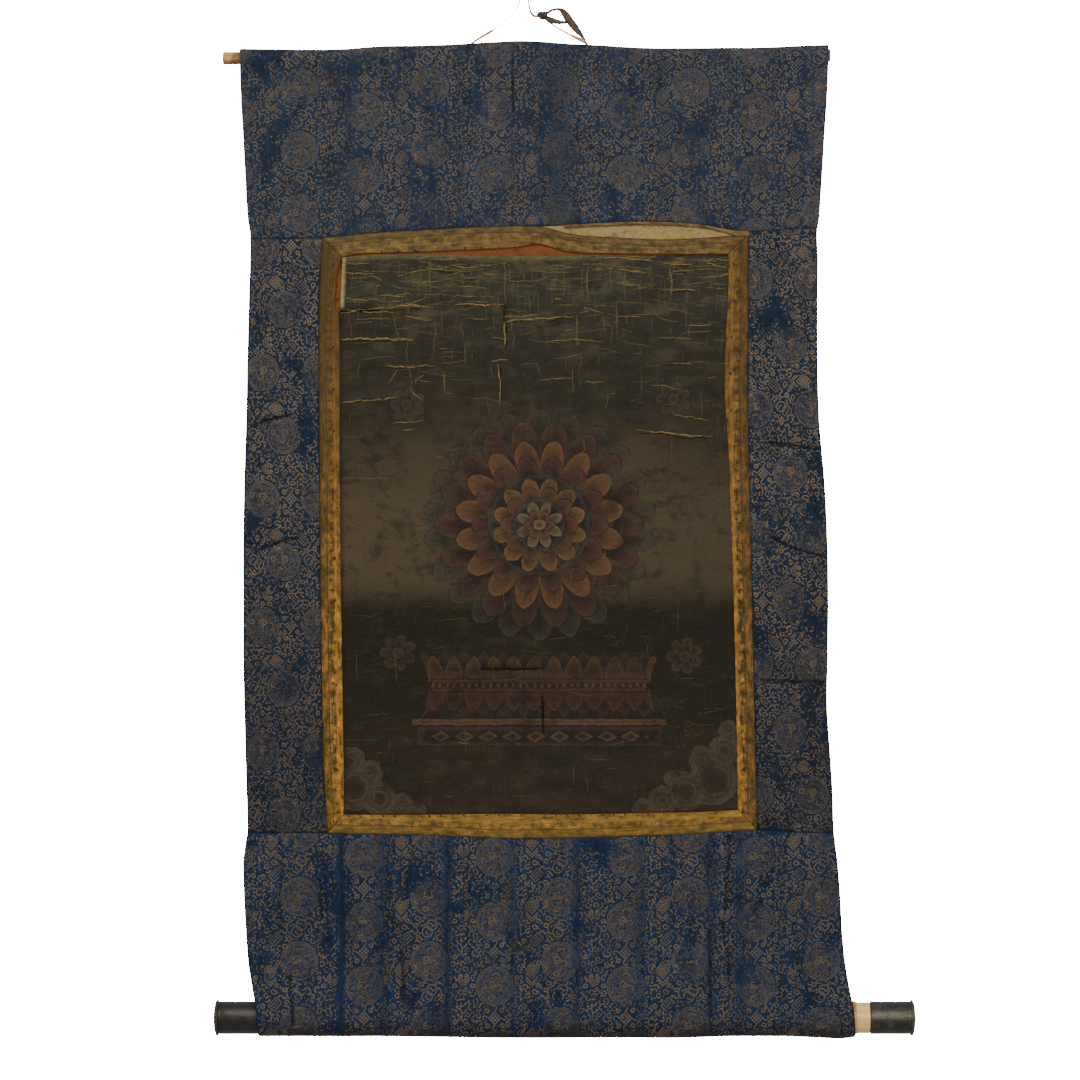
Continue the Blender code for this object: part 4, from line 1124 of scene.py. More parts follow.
def lacquer(name, low, high, rubbed):
    """Black lacquer rubbed brown: dull gloss, long scuffs, a painted highlight band across the upper front,
    and bare wood on the rims, lightened also as a painted highlight.
    """
    finish = Finish(name)
    scuffs = finish.place.scaled(0.12, 1, 1).noise(1.2, 3, 0.7)
    clouds = finish.place.noise(13, 3, 0.6)
    colour = clouds.step(0.35, 0.7).pick(dye(*low), dye(*high))
    colour = (scuffs.step(0.58, 0.74) * 0.5).pick(colour, toned(high, 1.35))
    # painted highlight: a light band across the upper front of the cap, its strength set by rubbed
    highlight_band = (finish.drop + (clouds - 0.5) * 6).near(ROLLER_DROP - 4.5, 6.5) * finish.depth.step(0, -8)
    highlight_band = highlight_band * (scuffs + clouds).step(0.75, 1.15)
    colour = (highlight_band * rubbed).pick(colour, dye(132, 124, 100))
    # worn rims, lightened also as a painted highlight on the flange
    rim = (finish.mark("tone") + (scuffs - 0.5) * 0.8).step(0.55, 0.95)
    colour = (rim * 0.5).pick(colour, dye(84, 72, 54))
    rough = 0.34 + clouds * 0.22 + rim * 0.2
    return finish.done(colour, rough, scuffs + clouds * 0.5, 0.12, 0.27)


def twisted(name, pale, dark, grey):
    """A twisted cord, tan near its ends and grey along its bare length, with painted shade in the furrows
    between its plies.
    """
    finish = Finish(name)
    fibres = finish.place.noise(0.45, 2, 0.6)
    # painted shade in the furrows, lighter on the crowns, by the tone mark
    colour = (finish.mark("tone") + (fibres - 0.5) * 0.5).step(0.2, 0.8).pick(dye(*dark), dye(*pale))
    tan_ends = finish.x.step(-31, -35).most(finish.x.near(13, 4))
    colour = tan_ends.pick(dye(*grey), colour)
    grime = finish.place.noise(5, 3).step(0.5, 0.7) * 0.5
    return finish.done(grime.pick(colour, dye(*dark)), 0.9, fibres, 0.15)


def hide(name, face, dark, worn):
    """Old leather: fine grain, dark clouds and dry pale scuffs."""
    finish = Finish(name)
    cells = finish.place.node("ShaderNodeTexVoronoi", {"feature": "F1"}, {
        "Vector": finish.place, "Scale": 1.3, "Randomness": 1,
    })
    clouds = finish.place.noise(4, 3, 0.6)
    colour = clouds.step(0.38, 0.66).pick(dye(*dark), dye(*face))
    scuffs = finish.place.scaled(1, 1, 0.4).noise(1.4, 3, 0.7).step(0.6, 0.72) * 0.6
    return finish.done(scuffs.pick(colour, dye(*worn)), 0.55, cells * 0.8 + clouds, 0.2, 0.25)


def thread(name, colour, dark):
    """Dull thread in two tones."""
    finish = Finish(name)
    twist = finish.place.noise(0.6, 2, 0.6)
    return finish.done(twist.step(0.4, 0.6).pick(dye(*dark), dye(*colour)), 0.8, twist, 0.1)


CRACKS = (  # start x, start drop, end x, end drop, width, tone from a dark slit or fold line of painted shade to bare gold-brown cotton
    (-199, 308, -165, 309, 1.3, 0.9), (-200, 295, -169, 297, 1.2, 0.7), (-139, 312, -104, 303, 1.2, 0.9),
    (-104, 303, -76, 306, 1.3, 0.95), (-125, 317, -91, 317, 1.1, 0.8), (-105, 298, -35, 299, 1.2, 0.85),
    (-66, 314, -40, 314, 1.1, 0.85), (-199, 335, -149, 339, 1.2, 0.8), (-149, 339, -146, 346, 1, 0.7),
    (-204, 349.5, -158, 349, 2.3, 0), (-203, 347, -150, 346, 1, 0.85), (-201, 352.5, -150, 349, 1.2, 0.9),
    (-150, 347, -110, 344, 1.5, 1), (-110, 344, -75, 338, 1, 0.6), (-75, 342, -21, 342, 1.4, 1),
    (-21, 362, 54, 356, 1.3, 1), (-187, 363, -165, 361, 0.9, 0.6), (-201, 381, -121, 382, 1.5, 1),
    (-196, 384, -140, 383, 0.7, 0.6), (-128, 356, -100, 359, 1, 0.7), (25, 383, 86, 383, 1.1, 0.8),
    (-152, 410, -98, 410, 1.2, 0.9), (-199, 450, -140, 444, 1.4, 1), (-91, 394, -65, 394, 0.9, 0.6),
    (-90, 400, -73, 399, 0.8, 0.6), (-148, 429, -139, 412, 1.1, 0.75), (-125, 436, -112, 447, 1.1, 0.8),
    (-120, 427, -110, 420, 1.1, 0.85), (-87, 416, -87, 438, 1, 0.7), (-36, 405, -18, 403, 1.2, 0.8),
    (-143, 473, -110, 469, 1, 0.8), (-133, 480, -120, 480, 1, 0.8), (-195, 532, -138, 532, 0.9, 0.6),
    (-190, 561, -139, 561, 0.8, 0.5), (74, 289, 141, 295, 1.5, 1), (108, 291, 134, 290, 1.2, 0.9),
    (160, 299, 184, 299, 1.3, 0.95), (162, 307, 186, 305, 1.2, 0.9), (197, 293, 222, 303, 1.4, 1),
    (160, 327, 189, 327, 1.3, 0.9), (71, 302, 97, 303, 1.2, 0.9), (120, 353, 148, 353, 1, 0.7),
    (67, 427, 87, 427, 1, 0.8), (128, 408, 175, 408, 0.8, 0.5), (123, 480, 207, 487, 1.3, 0.9),
    (-22, 290, -21, 341, 1.1, 0.7), (-21, 342, -21, 362, 1.9, 0.08), (-22, 362, -21, 388, 1.6, 0.95),
    (-29, 408, -26, 451, 1.3, 0.85), (-137, 296, -137, 311, 1, 0.5), (-145, 352, -137, 381, 1, 0.6),
    (-104, 292, -104, 329, 1, 0.7), (-67, 299, -67, 325, 0.9, 0.5), (-64, 384, -65, 407, 1, 0.6),
    (-15, 350, -15, 371, 1, 0.6), (14, 304, 15, 355, 0.9, 0.45), (128, 408, 128, 452, 0.6, 0.35),
    (70, 300, 70, 336, 1.1, 0.75), (94, 302, 94, 328, 1, 0.7), (110, 302, 111, 338, 1, 0.6),
    (160, 299, 160, 339, 1.1, 0.75), (102, 337, 102, 382, 0.8, 0.6), (58, 353, 58, 388, 1, 0.7),
    (53, 413, 53, 440, 0.9, 0.6), (-48, 743, 18, 741, 1.6, 0), (20, 777, 20, 815, 1.4, 0),
    (-78, 823, -59, 823, 1, 0.7),
)


def crack_figure():
    """Cracks and slits of the painting, the larger ones by measure and the fine ones scattered."""
    figure = Figure()
    rng = np.random.default_rng(5)

    def jagged(x0, drop0, x1, drop1, width, tone):
        length = math.hypot(x1 - x0, drop1 - drop0)
        count = max(int(length / 2.6), 3)
        share = np.linspace(0, 1, count + 1)[:, None]
        run = np.array((x1 - x0, drop1 - drop0)) / length
        wander = np.cumsum(rng.normal(0, 0.5, count + 1))
        wander -= np.linspace(wander[0], wander[-1], count + 1)
        points = np.array((x0, drop0)) * (1 - share) + np.array((x1, drop1)) * share
        points += np.array((-run[1], run[0])) * wander[:, None]
        figure.add(points, width, tone=tone)
        taper = np.sin(np.pi * np.clip(share[:, 0], 0.03, 0.97)) ** 0.35
        figure.vary(taper * rng.uniform(0.6, 1.3, count + 1))

    for row in CRACKS:
        jagged(*row)
        if row[5] >= 0.85:                               # shade under the lifted paint beside it
            beside = (0, 1.2) if abs(row[2] - row[0]) > abs(row[3] - row[1]) else (1.2, 0)
            jagged(row[0] + beside[0], row[1] + beside[1], row[2] + beside[0], row[3] + beside[1], 0.8, 0.03)
    for _ in range(620):
        upper = rng.random() < 0.74
        drop = 290 + rng.exponential(46) if upper else rng.uniform(300, 890)
        if drop > 892:
            continue
        x = rng.uniform(-198, 222)
        upright = rng.random() < (0.3 if upper else 0.45)
        length = rng.uniform(5, 30) if upright else rng.uniform(6, 40)
        lean = rng.normal(0, 0.12)
        run = (math.sin(lean), math.cos(lean)) if upright else (math.cos(lean), math.sin(lean))
        tones = (0.25, 0.5) if not upper else (0.3, 0.6) if upright else (0.35, 0.85)
        tone = rng.uniform(*tones)
        width = rng.uniform(0.6, 1.1) if upper else rng.uniform(0.4, 0.8)
        jagged(x, drop, x + run[0] * length, drop + run[1] * length, width, tone)
    return figure


CREASE_LINES = {  # corners, x and drop, of the black lines of painted shade in the bottoms of the side panels' sharp folds
    "left_panel": (
        ((-296.3, 474.1), (-279.5, 467.7), (-269, 465.6), (-256.3, 463.5)),
        ((-294.3, 612.9), (-279.5, 608.7), (-269, 602.5), (-260.6, 598.2), (-247.9, 598.2)),
        ((-304.7, 603.5), (-290, 604.6)), ((-252.1, 609.8), (-239.5, 612.9)),
    ),
    "right_panel": (
        ((255, 493.6), (278.1, 493.6), (295.8, 495.8), (319.4, 501)),
        ((269.9, 595.8), (283.9, 603.9), (297.9, 610.6), (329.9, 619)),
        ((260.3, 633.5), (278.1, 631.3), (291.4, 624.6)),
        ((277.6, 757.3), (300.7, 755.2)), ((315.5, 755.2), (326.1, 757.3)), ((274.1, 276.8), (283, 280)),
    ),
}


def crease_figure(name):
    """Ragged black lines of painted shade along a side panel's sharp folds."""
    figure = Figure()
    rng = np.random.default_rng(19)
    for corners in CREASE_LINES[name]:
        points = line(*corners, count=7)
        points[:, 1] += rng.normal(0, 0.3, len(points))
        figure.add(points, 1.25)
        taper = np.sin(np.pi * np.linspace(0.04, 0.96, len(points))) ** 0.5
        figure.vary(taper * rng.uniform(0.5, 1.2, len(points)))
    return figure


def path_mesh(points):
    """A line of edges through points in mm."""
    mesh = bpy.data.meshes.new("path")
    mesh.from_pydata((np.asarray(points) * MM).tolist(), [(k, k + 1) for k in range(len(points) - 1)], [])
    return mesh


class PathTree(Tree):
    """A tree that sets small things out along a path, each swung aside from the path's own direction."""

    def __init__(self, name, spacing, length, thickness, swing, seed):
        numbers = (("Spacing", spacing), ("Length", length), ("Thickness", thickness), swing)
        inputs = [(label, "NodeSocketFloat", value) for label, value in numbers]
        super().__init__(name, (*inputs, ("Seed", "NodeSocketInt", seed)))
        self.half = self.maths("MULTIPLY", self.given["Thickness"], 0.5)

    def set_out(self, thing, angle, axis, size, surface):
        """Put a thing at each place, with this axis along the path but for its angle."""
        path = self.node("GeometryNodeMeshToCurve", values={"Mesh": self.given["Geometry"]})
        places = self.node("GeometryNodeResampleCurve", {"mode": "LENGTH"}, {
            "Curve": path, "Length": self.given["Spacing"],
        })
        aim = self.node("ShaderNodeVectorRotate", {"rotation_type": "AXIS_ANGLE"}, {
            "Vector": self.node("GeometryNodeInputTangent"), "Axis": (0, 1, 0), "Angle": angle,
        })
        turned = self.node("FunctionNodeAlignRotationToVector", {"axis": axis}, {"Vector": aim})
        done = self.node("GeometryNodeInstanceOnPoints", values={
            "Points": places, "Instance": thing, "Rotation": turned, "Scale": size,
        })
        return self.finish(done, surface)


def stitch_tree(surface):
    """Slanting stitches along a seam."""
    tree = PathTree("stitches", 0.009, 0.003, 0.0009, ("Slant", 0.4), 3)
    lean = tree.chance(0.6, 1.4, tree.given["Seed"])
    stitch = tree.node("GeometryNodeMeshCylinder", {"fill_type": "TRIANGLE_FAN"}, {
        "Vertices": 6, "Side Segments": 1, "Radius": tree.half, "Depth": tree.given["Length"],
    })
    return tree.set_out(stitch, tree.maths("MULTIPLY", lean, tree.given["Slant"]), "Z", lean, surface)


def fray_tree(surface):
    """Loose bent fibres along a torn edge."""
    tree = PathTree("frayed fibres", 0.002, 0.004, 0.00035, ("Spread", 1.2), 4)
    spread = tree.given["Spread"]
    angle = tree.chance(tree.maths("MULTIPLY", spread, -1), spread, tree.given["Seed"])
    far = tree.node("ShaderNodeCombineXYZ", values={0: tree.given["Length"]})
    bow = tree.node("ShaderNodeVectorMath", {"operation": "MULTIPLY"}, {0: far, 1: (0.5, 0, 0)})
    lift = tree.node("ShaderNodeVectorMath", {"operation": "ADD"}, {0: bow, 1: (0, -0.0004, 0.0005)})
    hair = tree.node("GeometryNodeCurveQuadraticBezier", values={
        "Resolution": 4, "Start": (0, 0, 0), "Middle": lift, "End": far,
    })
    round_wire = tree.node("GeometryNodeCurvePrimitiveCircle", {"mode": "RADIUS"}, {
        "Resolution": 4, "Radius": tree.half,
    })
    fibre = tree.node("GeometryNodeCurveToMesh", values={
        "Curve": hair, "Profile Curve": round_wire, "Fill Caps": True,
    })
    return tree.set_out(fibre, angle, "X", tree.chance(0.3, 1.2, 9), surface)


def sleeve_place(axis, over, way, radius, rim, hem, left_at, width, near):
    """Places on a panel with a sleeve: its front, then round the rod, then the hem lying behind the front.

    over is half the sleeve's girth, and way is 1 where the sleeve goes up over its rod and -1 where it
    goes down round it. The hem's rows give its depth by how far it has come back from the rod.
    """
    rows = [(0, radius), *hem]

    def place(x, drop):
        rod = axis(x)
        past = way * (rod - drop)
        away = np.clip(past - over, 0, None)
        behind = rod + way * away
        inset = HEM_INSET * rise(away, 0, near)
        share = (x - left_at) / width
        hem_x = (left_edge(behind) + inset) * (1 - share) + (right_edge(behind) - inset) * share
        hem_depth = np.interp(away, [row[0] for row in rows], [row[1] for row in rows])
        hem_depth = np.maximum(hem_depth, relief(hem_x, behind) + HEM_STANDOFF)
        turn = np.pi * np.clip(past / over, 0, 1)
        height = np.maximum(way * (rod - smooth(rim, x)) - BROCADE / 2, radius)
        arch = np.stack((x, -radius * np.cos(turn), way * height * np.sin(turn) - rod), -1)
        behind_front = np.stack((hem_x, hem_depth, -behind), -1)
        back = np.where((away > 0)[..., None], behind_front, arch)
        return np.where((past <= 0)[..., None], hang()(x, drop), back)

    return place


heading_place = sleeve_place(
    lambda x: DOWEL_DROP - DOWEL_TILT * x, 36, 1, TOP_SLEEVE_RADIUS, HEADING_TOP, TOP_HEM[::-1],
    -312, 646.4, 8,
)
foot_place = sleeve_place(
    lambda x: np.full_like(x, ROLLER_DROP), 62, -1, ROLLER_SLEEVE_RADIUS, FOOT_BOTTOM,
    [(-up, depth) for up, depth in BOTTOM_HEM], -291, 654, 10,
)


def repeat_places(x0, drop0, across, down, on_side=False):
    """From x and drop to places in the woven repeat, and back, for a repeat of this size on the cloth.

    Where the cloth is cut on its side, the repeat's length runs down it.
    """
    wide, high = across / REPEAT[0], down / REPEAT[1]
    if on_side:
        return (
            lambda x, drop: ((drop - drop0) / wide, (x0 - x) / high),
            lambda u, v: (x0 - v * high, u * wide + drop0),
        )
    return (
        lambda x, drop: ((x - x0) / wide, (drop - drop0) / high),
        lambda u, v: (u * wide + x0, v * high + drop0),
    )


WEAVES = {
    "top_panel": repeat_places(-246.4, 103.8, 143, 69),
    "bottom_panel": repeat_places(-246.4, 991.1, 143, 70.4),
    "left_panel": repeat_places(-263.3, 347.6, 138.6, 61, True),
    "right_panel": repeat_places(315.7, 315.7, 141, 61.6, True),
}


def add_figure(name, cloth, surface, first, columns, rows):
    """The brocade's woven figure on one panel."""
    source = mesh_of("one repeat", TILE[0], TILE[1], **TILE[2])
    tree = repeat_tree(surface)
    mesh = tree.run(source, {
        "Repeat across": REPEAT[0] * MM, "Repeat down": REPEAT[1] * MM, "Columns": columns, "Rows": rows,
    })
    points, faces, marks = arrays_of(mesh, "tone", "side")
    points = points / MM + (
        (first[0] + (columns - 1) / 2) * REPEAT[0], (first[1] + (rows - 1) / 2) * REPEAT[1], 0,
    )
    to_weave, from_weave = WEAVES[name]
    x, drop = from_weave(points[:, 0], points[:, 1])
    return lay_figure(name + "_figure", cloth, np.stack((x, drop), 1), faces, marks, to_weave,
                      [surface], "brocade", BROCADE / 2 + 0.16)


LAP = SEAM_LAP / 2
figure_points, figure_faces, figure_marks = brocade_figure().mesh_arrays()
TILE = (np.column_stack((figure_points, np.zeros(len(figure_points)))), figure_faces, figure_marks)

reverse = brocade_reverse("brocade reverse")
panels = {
    "top_panel": Cloth((left_edge, right_edge, level(-2), edge(HEADING_SEAM, LAP)), heading_place,
                       (640, 262), 3, "b"),
    "bottom_panel": Cloth((left_edge, right_edge, edge(FOOT_SEAM, -LAP), level(ROLLER_DROP + 122)),
                          foot_place, (650, 326), 3, "t"),
    "left_panel": Cloth((left_edge, edge(LEFT_STRIP_OUTER, LAP), edge(HEADING_SEAM, -LAP),
                         edge(FOOT_SEAM, LAP)), hang(), (84, 655), 3, "rtb"),
    "right_panel": Cloth((edge(RIGHT_STRIP_OUTER, -LAP), right_edge, edge(HEADING_SEAM, -LAP),
                          edge(FOOT_SEAM, LAP)), hang(), (80, 655), 3, "ltb"),
}
pieces = {}
for name, bands, tint, bright, warp_down, first, columns, rows in (
    ("top_panel", 0, (25, 43, 68), 1.01, True, (-1, -2), 6, 5),
    ("bottom_panel", 1, (13, 37, 70), 1.07, True, (-1, -2), 6, 6),
    ("left_panel", None, (14, 33, 57), 1.12, False, (-2, -1), 8, 3),
    ("right_panel", None, (15, 34, 57), 1.15, False, (-2, -1), 8, 3),
):
    front = brocade(name.replace("_", " ") + " brocade", bands, tint, warp_down)
    gilt = brocade_thread(name.replace("_", " ") + " figure", bands, tint, bright)
    pieces[name] = add_cloth(name, panels[name], BROCADE, [front, reverse], "brocade", WEAVES[name][0])
    pieces[name + "_figure"] = add_figure(name, panels[name], gilt, first, columns, rows)
# black strokes of painted shade in the bottoms of the side panels' sharp folds
crease_shade_black = thread("painted shade in the creases", (15, 18, 24), (8, 9, 12))
for name in CREASE_LINES:
    pieces[name + "_creases"] = lay_figure(
        name + "_creases", panels[name], *crease_figure(name).mesh_arrays(), WEAVES[name][0], [crease_shade_black],
        "brocade", BROCADE / 2 + 0.4,
    )

# ---- border, painting and the layers behind them ----

STRIP_LIFT = -0.3
border_reverse = gold_silk("border reverse", ((60, 46, 30), (80, 62, 40), (96, 74, 48), (110, 86, 56)))
strips = {
    "border_top": (
        (mitre("top_left", 0, -LAP), mitre("top_right", 0, LAP), edge(TOP_STRIP_UPPER, -LAP),
         edge(TOP_STRIP_LOWER)), (445, 20), "lrt",
        lambda x, d: (d - smooth(TOP_STRIP_UPPER, x), x),
        gold_silk("top border silk", ((60, 45, 18), (90, 68, 26), (115, 88, 33), (144, 112, 46)),
                  0.45, 0.3, 7),
    ),
    "border_bottom": (
        (mitre("bottom_left", 0, -LAP), mitre("bottom_right", 0, LAP), edge(PAINTING_BOTTOM, 1.3),
         edge(FOOT_SEAM, LAP)), (450, 25), "lrb",
        lambda x, d: (smooth(FOOT_SEAM, x) - d, x),
        gold_silk("bottom border silk", ((84, 62, 19), (119, 90, 29), (143, 109, 38), (170, 132, 53)),
                  0.5, 0.3, 9.5),
    ),
    "border_left": (
        (edge(LEFT_STRIP_OUTER, -LAP), edge(LEFT_STRIP_INNER), mitre("top_left", 1, -LAP),
         mitre("bottom_left", 1, LAP)), (21, 630), "ltb",
        lambda x, d: (x - smooth(LEFT_STRIP_OUTER, d), d),
        gold_silk("left border silk", ((62, 45, 12), (112, 83, 24), (152, 115, 38), (190, 145, 54)),
                  0.85, 0.4, 8, 0.82),
    ),
    "border_right": (
        (edge(RIGHT_STRIP_INNER), edge(RIGHT_STRIP_OUTER, LAP), mitre("top_right", 1, -LAP),
         mitre("bottom_right", 1, LAP)), (21, 630), "rtb",
        lambda x, d: (smooth(RIGHT_STRIP_OUTER, d) - x, d),
        gold_silk("right border silk", ((52, 39, 14), (106, 79, 26), (145, 108, 36), (182, 136, 50)),
                  0.9, 0.5, 9.5, 0.5),
    ),
}
cloths = {}
for name, (edges, size, sewn, weave, surface) in strips.items():
    cloths[name] = Cloth(edges, hang(STRIP_LIFT), size, 2.4, sewn)
    pieces[name] = add_cloth(name, cloths[name], SILK, [surface, border_reverse], "gold_silk", weave)

canvas_reverse = plain_cotton("canvas reverse", (122, 106, 82), (92, 80, 62), (74, 62, 46), 1.1)
cloths["painting"] = Cloth(
    (lambda d: smooth(PAINTING_LEFT, d) - 2.5 * rise(d, 346, 356), edge(RIGHT_STRIP_INNER, 2.5),
     edge(PAINTING_TOP), edge(PAINTING_BOTTOM)),
    hang(0.9, 1.4), (426, 612), 2.7, fine=(0, 0.8, 1.8),
)
pieces["painting"] = add_cloth(
    "painting", cloths["painting"], CANVAS, [aged_painting("aged painting"), canvas_reverse],
    "painted_cotton", lambda x, d: (x - smooth(PAINTING_LEFT, d), d - smooth(PAINTING_TOP, x)),
)
crack_points, crack_faces, crack_marks = crack_figure().mesh_arrays()
pieces["painting_cracks"] = lay_figure(
    "painting_cracks", cloths["painting"], crack_points, crack_faces, crack_marks, lambda x, d: (x, d),
    [bare_cracks("bare cotton in the cracks")], "painted_cotton", CANVAS / 2 + 0.12, 0.4,
)

cream = plain_cotton("cream cotton", (162, 145, 94), (142, 125, 78), (104, 92, 62))
red = plain_cotton("red silk", (136, 80, 38), (110, 60, 29), (72, 42, 22), 0.7, 0.5)
behind = BROCADE / 2 + 0.5 + COTTON / 2 + 0.3
for name, edges, size, back, surface, slot in (
    ("backing_cloth", (level(-214), level(248), edge(HEADING_SEAM, -14), level(274.2)), (462, 27), 0,
     cream, "cream_cotton"),
    ("red_strip_top", (level(-197), level(232), level(274.6), level(296)), (429, 21.4), 0, red, "red_silk"),
    ("red_strip_left", (level(-214), level(-194), level(284), level(366)), (20, 82), 1.1, red, "red_silk"),
    ("red_strip_bottom", (level(-206), level(242), level(890), level(908)), (448, 18), 0, red,
     "red_silk"),
):
    cloths[name] = Cloth(edges, hang(behind + back), size, 3, fine=(0, 1.5))
    pieces[name] = add_cloth(name, cloths[name], COTTON, [surface, surface], slot, lambda x, d: (x, d))
cloths["seam_allowance"] = Cloth(
    (level(44), level(247), edge(HEADING_SEAM, -LAP),
     lambda x: smooth(HEADING_SEAM, x) + 3.2 + 2.8 * rise(x, 212, 236)), hang(0.1), (204, 3.4), 2,
    fine=(0, 0.6),
)
torn_silk = gold_silk("torn border silk", ((60, 44, 25), (96, 70, 34), (122, 92, 46), (140, 106, 54)))
pieces["seam_allowance"] = add_cloth(
    "seam_allowance", cloths["seam_allowance"], SILK, [torn_silk] * 2, "gold_silk",
    lambda x, d: (d - smooth(HEADING_SEAM, x) + 4, x),
)

# ---- rods ----

def turned(name, rows, drop, surface, slot, sides=64, lean=0, tone=0, tube=False):
    """A rod, cap or tube turned about its length from rows of x and radius."""
    rows = np.asarray(rows, float)
    angle = np.linspace(0, 2 * np.pi, sides, endpoint=False)
    along = np.repeat(rows[:, :1], sides, 1)
    rings = np.stack((
        along, np.outer(rows[:, 1], np.sin(angle)), np.outer(rows[:, 1], np.cos(angle)) + lean * along - drop,
    ), -1)
    mesh = loft(name, rings, np.reshape(tone, (-1, 1)), tube, 38)
    return add_piece(name, mesh, [surface], slot, (name,))


dowel_left, dowel_right = -330.6, 336.6
long_steps = np.linspace(dowel_left + 1.2, dowel_right - 1.2, 40)
dowel_rows = [(dowel_left, 5.9), (dowel_left + 0.4, 6.6)]
dowel_rows += [(x, 7 - 0.12 * math.sin(x / 17) ** 2) for x in long_steps]
dowel_rows += [(dowel_right - 0.4, 6.6), (dowel_right, 5.9)]
dowel_wood = rod_wood("dowel wood", (186, 164, 106), (156, 126, 76), (82, 56, 34), 0.6, 0.8, 0.7, 320)
pieces["top_dowel"] = turned("top_dowel", dowel_rows, DOWEL_DROP, dowel_wood, "dowel_wood", 40, DOWEL_TILT)
roller_left, roller_right, cap_length = -340.5, 429.6, 50
shoulder_left, shoulder_right = roller_left + cap_length + 0.4, roller_right - cap_length - 0.4
TENON, TENON_RADIUS = 38, 13
roller_rows = [(shoulder_left - TENON, TENON_RADIUS), (shoulder_left, TENON_RADIUS)]
roller_rows += [(shoulder_left, 16.6), (shoulder_left + 0.5, 17)]
roller_rows += [(x, 17) for x in np.linspace(shoulder_left + 8, shoulder_right - 8, 30)]
roller_rows += [(shoulder_right - 0.5, 17), (shoulder_right, 16.6)]
roller_rows += [(shoulder_right, TENON_RADIUS), (shoulder_right + TENON, TENON_RADIUS)]
pieces["roller"] = turned(
    "roller", roller_rows, ROLLER_DROP,
    rod_wood("roller wood", (205, 193, 152), (196, 180, 134), (138, 118, 80), 0.2, 1.4, 0.4), "roller_wood",
)
CAP = np.array((  # from the domed outer end: length along, radius, wear and painted highlight on the rims
    (0, 3, 0.3), (0.3, 9, 0.25), (0.8, 13, 0.25), (1.5, 16.2, 0.35), (2.3, 18.3, 0.6),
    (3.1, 19.4, 0.9), (3.9, 19.8, 0.95), (4.7, 19.6, 0.8), (5.2, 19, 0.4), (5.5, 18.2, 0.1),
    (5.9, 17.7, 0.05), (6.6, 17.7, 0.1), (7.1, 17.95, 0.3), (8.6, 17.95, 0.2), (9, 17.6, 0.05),
    (9.4, 17.9, 0.2),
    (20, 17.9, 0.15), (32, 17.85, 0.12), (42, 17.9, 0.15), (47.6, 17.9, 0.3), (48.9, 17.7, 0.6),
    (49.7, 17.2, 0.9), (50, 16.4, 0.7), (50, 13.4, 0.3), (11.2, 13.4, 0),
))
# the right cap's lighter tints and stronger band are painted light; rubbed sets the strength of the painted
# highlight band
for name, end, way, low, high, rubbed in (
    ("cap_left", roller_left, 1, (17, 12, 4), (31, 25, 15), 0.12),
    ("cap_right", roller_right, -1, (24, 20, 13), (60, 54, 42), 0.75),
):
    rows = np.stack((end + way * CAP[:, 0], CAP[:, 1]), 1)
    surface = lacquer(name.replace("_", " ") + " lacquer", low, high, rubbed)
    pieces[name] = turned(name, rows, ROLLER_DROP, surface, "lacquer", tone=CAP[:, 2])
lining = [(364.4, 17.3), (364.3, 17.9), (363.8, 18.3)] + [(x, 18.3) for x in np.linspace(360, -282, 12)]
lining += [(-288.4, 18.3), (-288.9, 17.9), (-289, 17.3)]
tan_cotton = plain_cotton("tan cotton", (200, 174, 122), (182, 152, 102), (132, 106, 72))
pieces["sleeve_lining"] = turned("sleeve_lining", lining, ROLLER_DROP, tan_cotton, "tan_cotton", tube=True)

# ---- hanging cord, leather and knot ----

CORD_ROUTE = (  # x, drop, depth, radius
    (-57.8, 55.9, 0, 1.3), (-54.4, 53.1, 0, 1.3), (-46, 47.8, 0, 1.5), (-36.6, 42.3, -0.3, 1.6),
    (-33, 40, -0.3, 0.8), (-25, 34.2, -0.5, 0.6), (-16.6, 27, -0.6, 0.6), (-9.8, 19.2, -0.4, 0.6),
    (-6, 12.6, -0.2, 0.8), (-4.7, 7.8, 0, 0.8), (-4.2, 4.2, 0.2, 0.8), (-2.6, 1.2, 0.2, 0.8),
    (0, 0, 0.2, 0.8), (2.7, 1.2, 0.2, 0.8), (4.4, 4.4, 0.2, 0.8), (5, 8.8, 0, 0.9),
    (6, 16, -0.3, 1.1), (7.8, 21.6, -0.4, 1.2), (10.6, 25, -0.4, 1.4), (14.3, 25.4, -0.4, 1.5),
    (17.6, 25.2, -0.4, 1.2),
)
RIBBON_ROUTE = (  # x, drop, depth, turn away from the viewer in degrees, width
    (21.6, 23.8, -0.6, 20, 3.6), (25.1, 22, -0.8, 25, 3.6), (30.6, 19.2, -1.6, 40, 3.8),
    (37.4, 18, -2.4, 50, 5.2), (42, 19.9, -2.8, 35, 7.6), (45.8, 24.3, -2.8, 14, 8.8),
    (49.4, 29.7, -2.4, 0, 8.8), (55, 36.6, -1.6, 0, 8.3), (59.2, 41.9, -1, 6, 7),
    (64.2, 47.8, 0.4, 20, 4.2), (68.4, 55.3, 1.4, 40, 3.4), (69.2, 57.2, 1.4, 40, 3.2),
)
TAIL_ROUTE = (
    (21.4, 25.2, 0.5, 10, 4.6), (24.7, 26.8, 0.8, 10, 5.2), (31.8, 30.2, 0.8, 0, 6.4),
    (38, 31.7, 0.2, 0, 5.2), (43, 32.3, -0.6, 0, 3.8), (47.4, 32.3, -1.3, 0, 2.6),
)
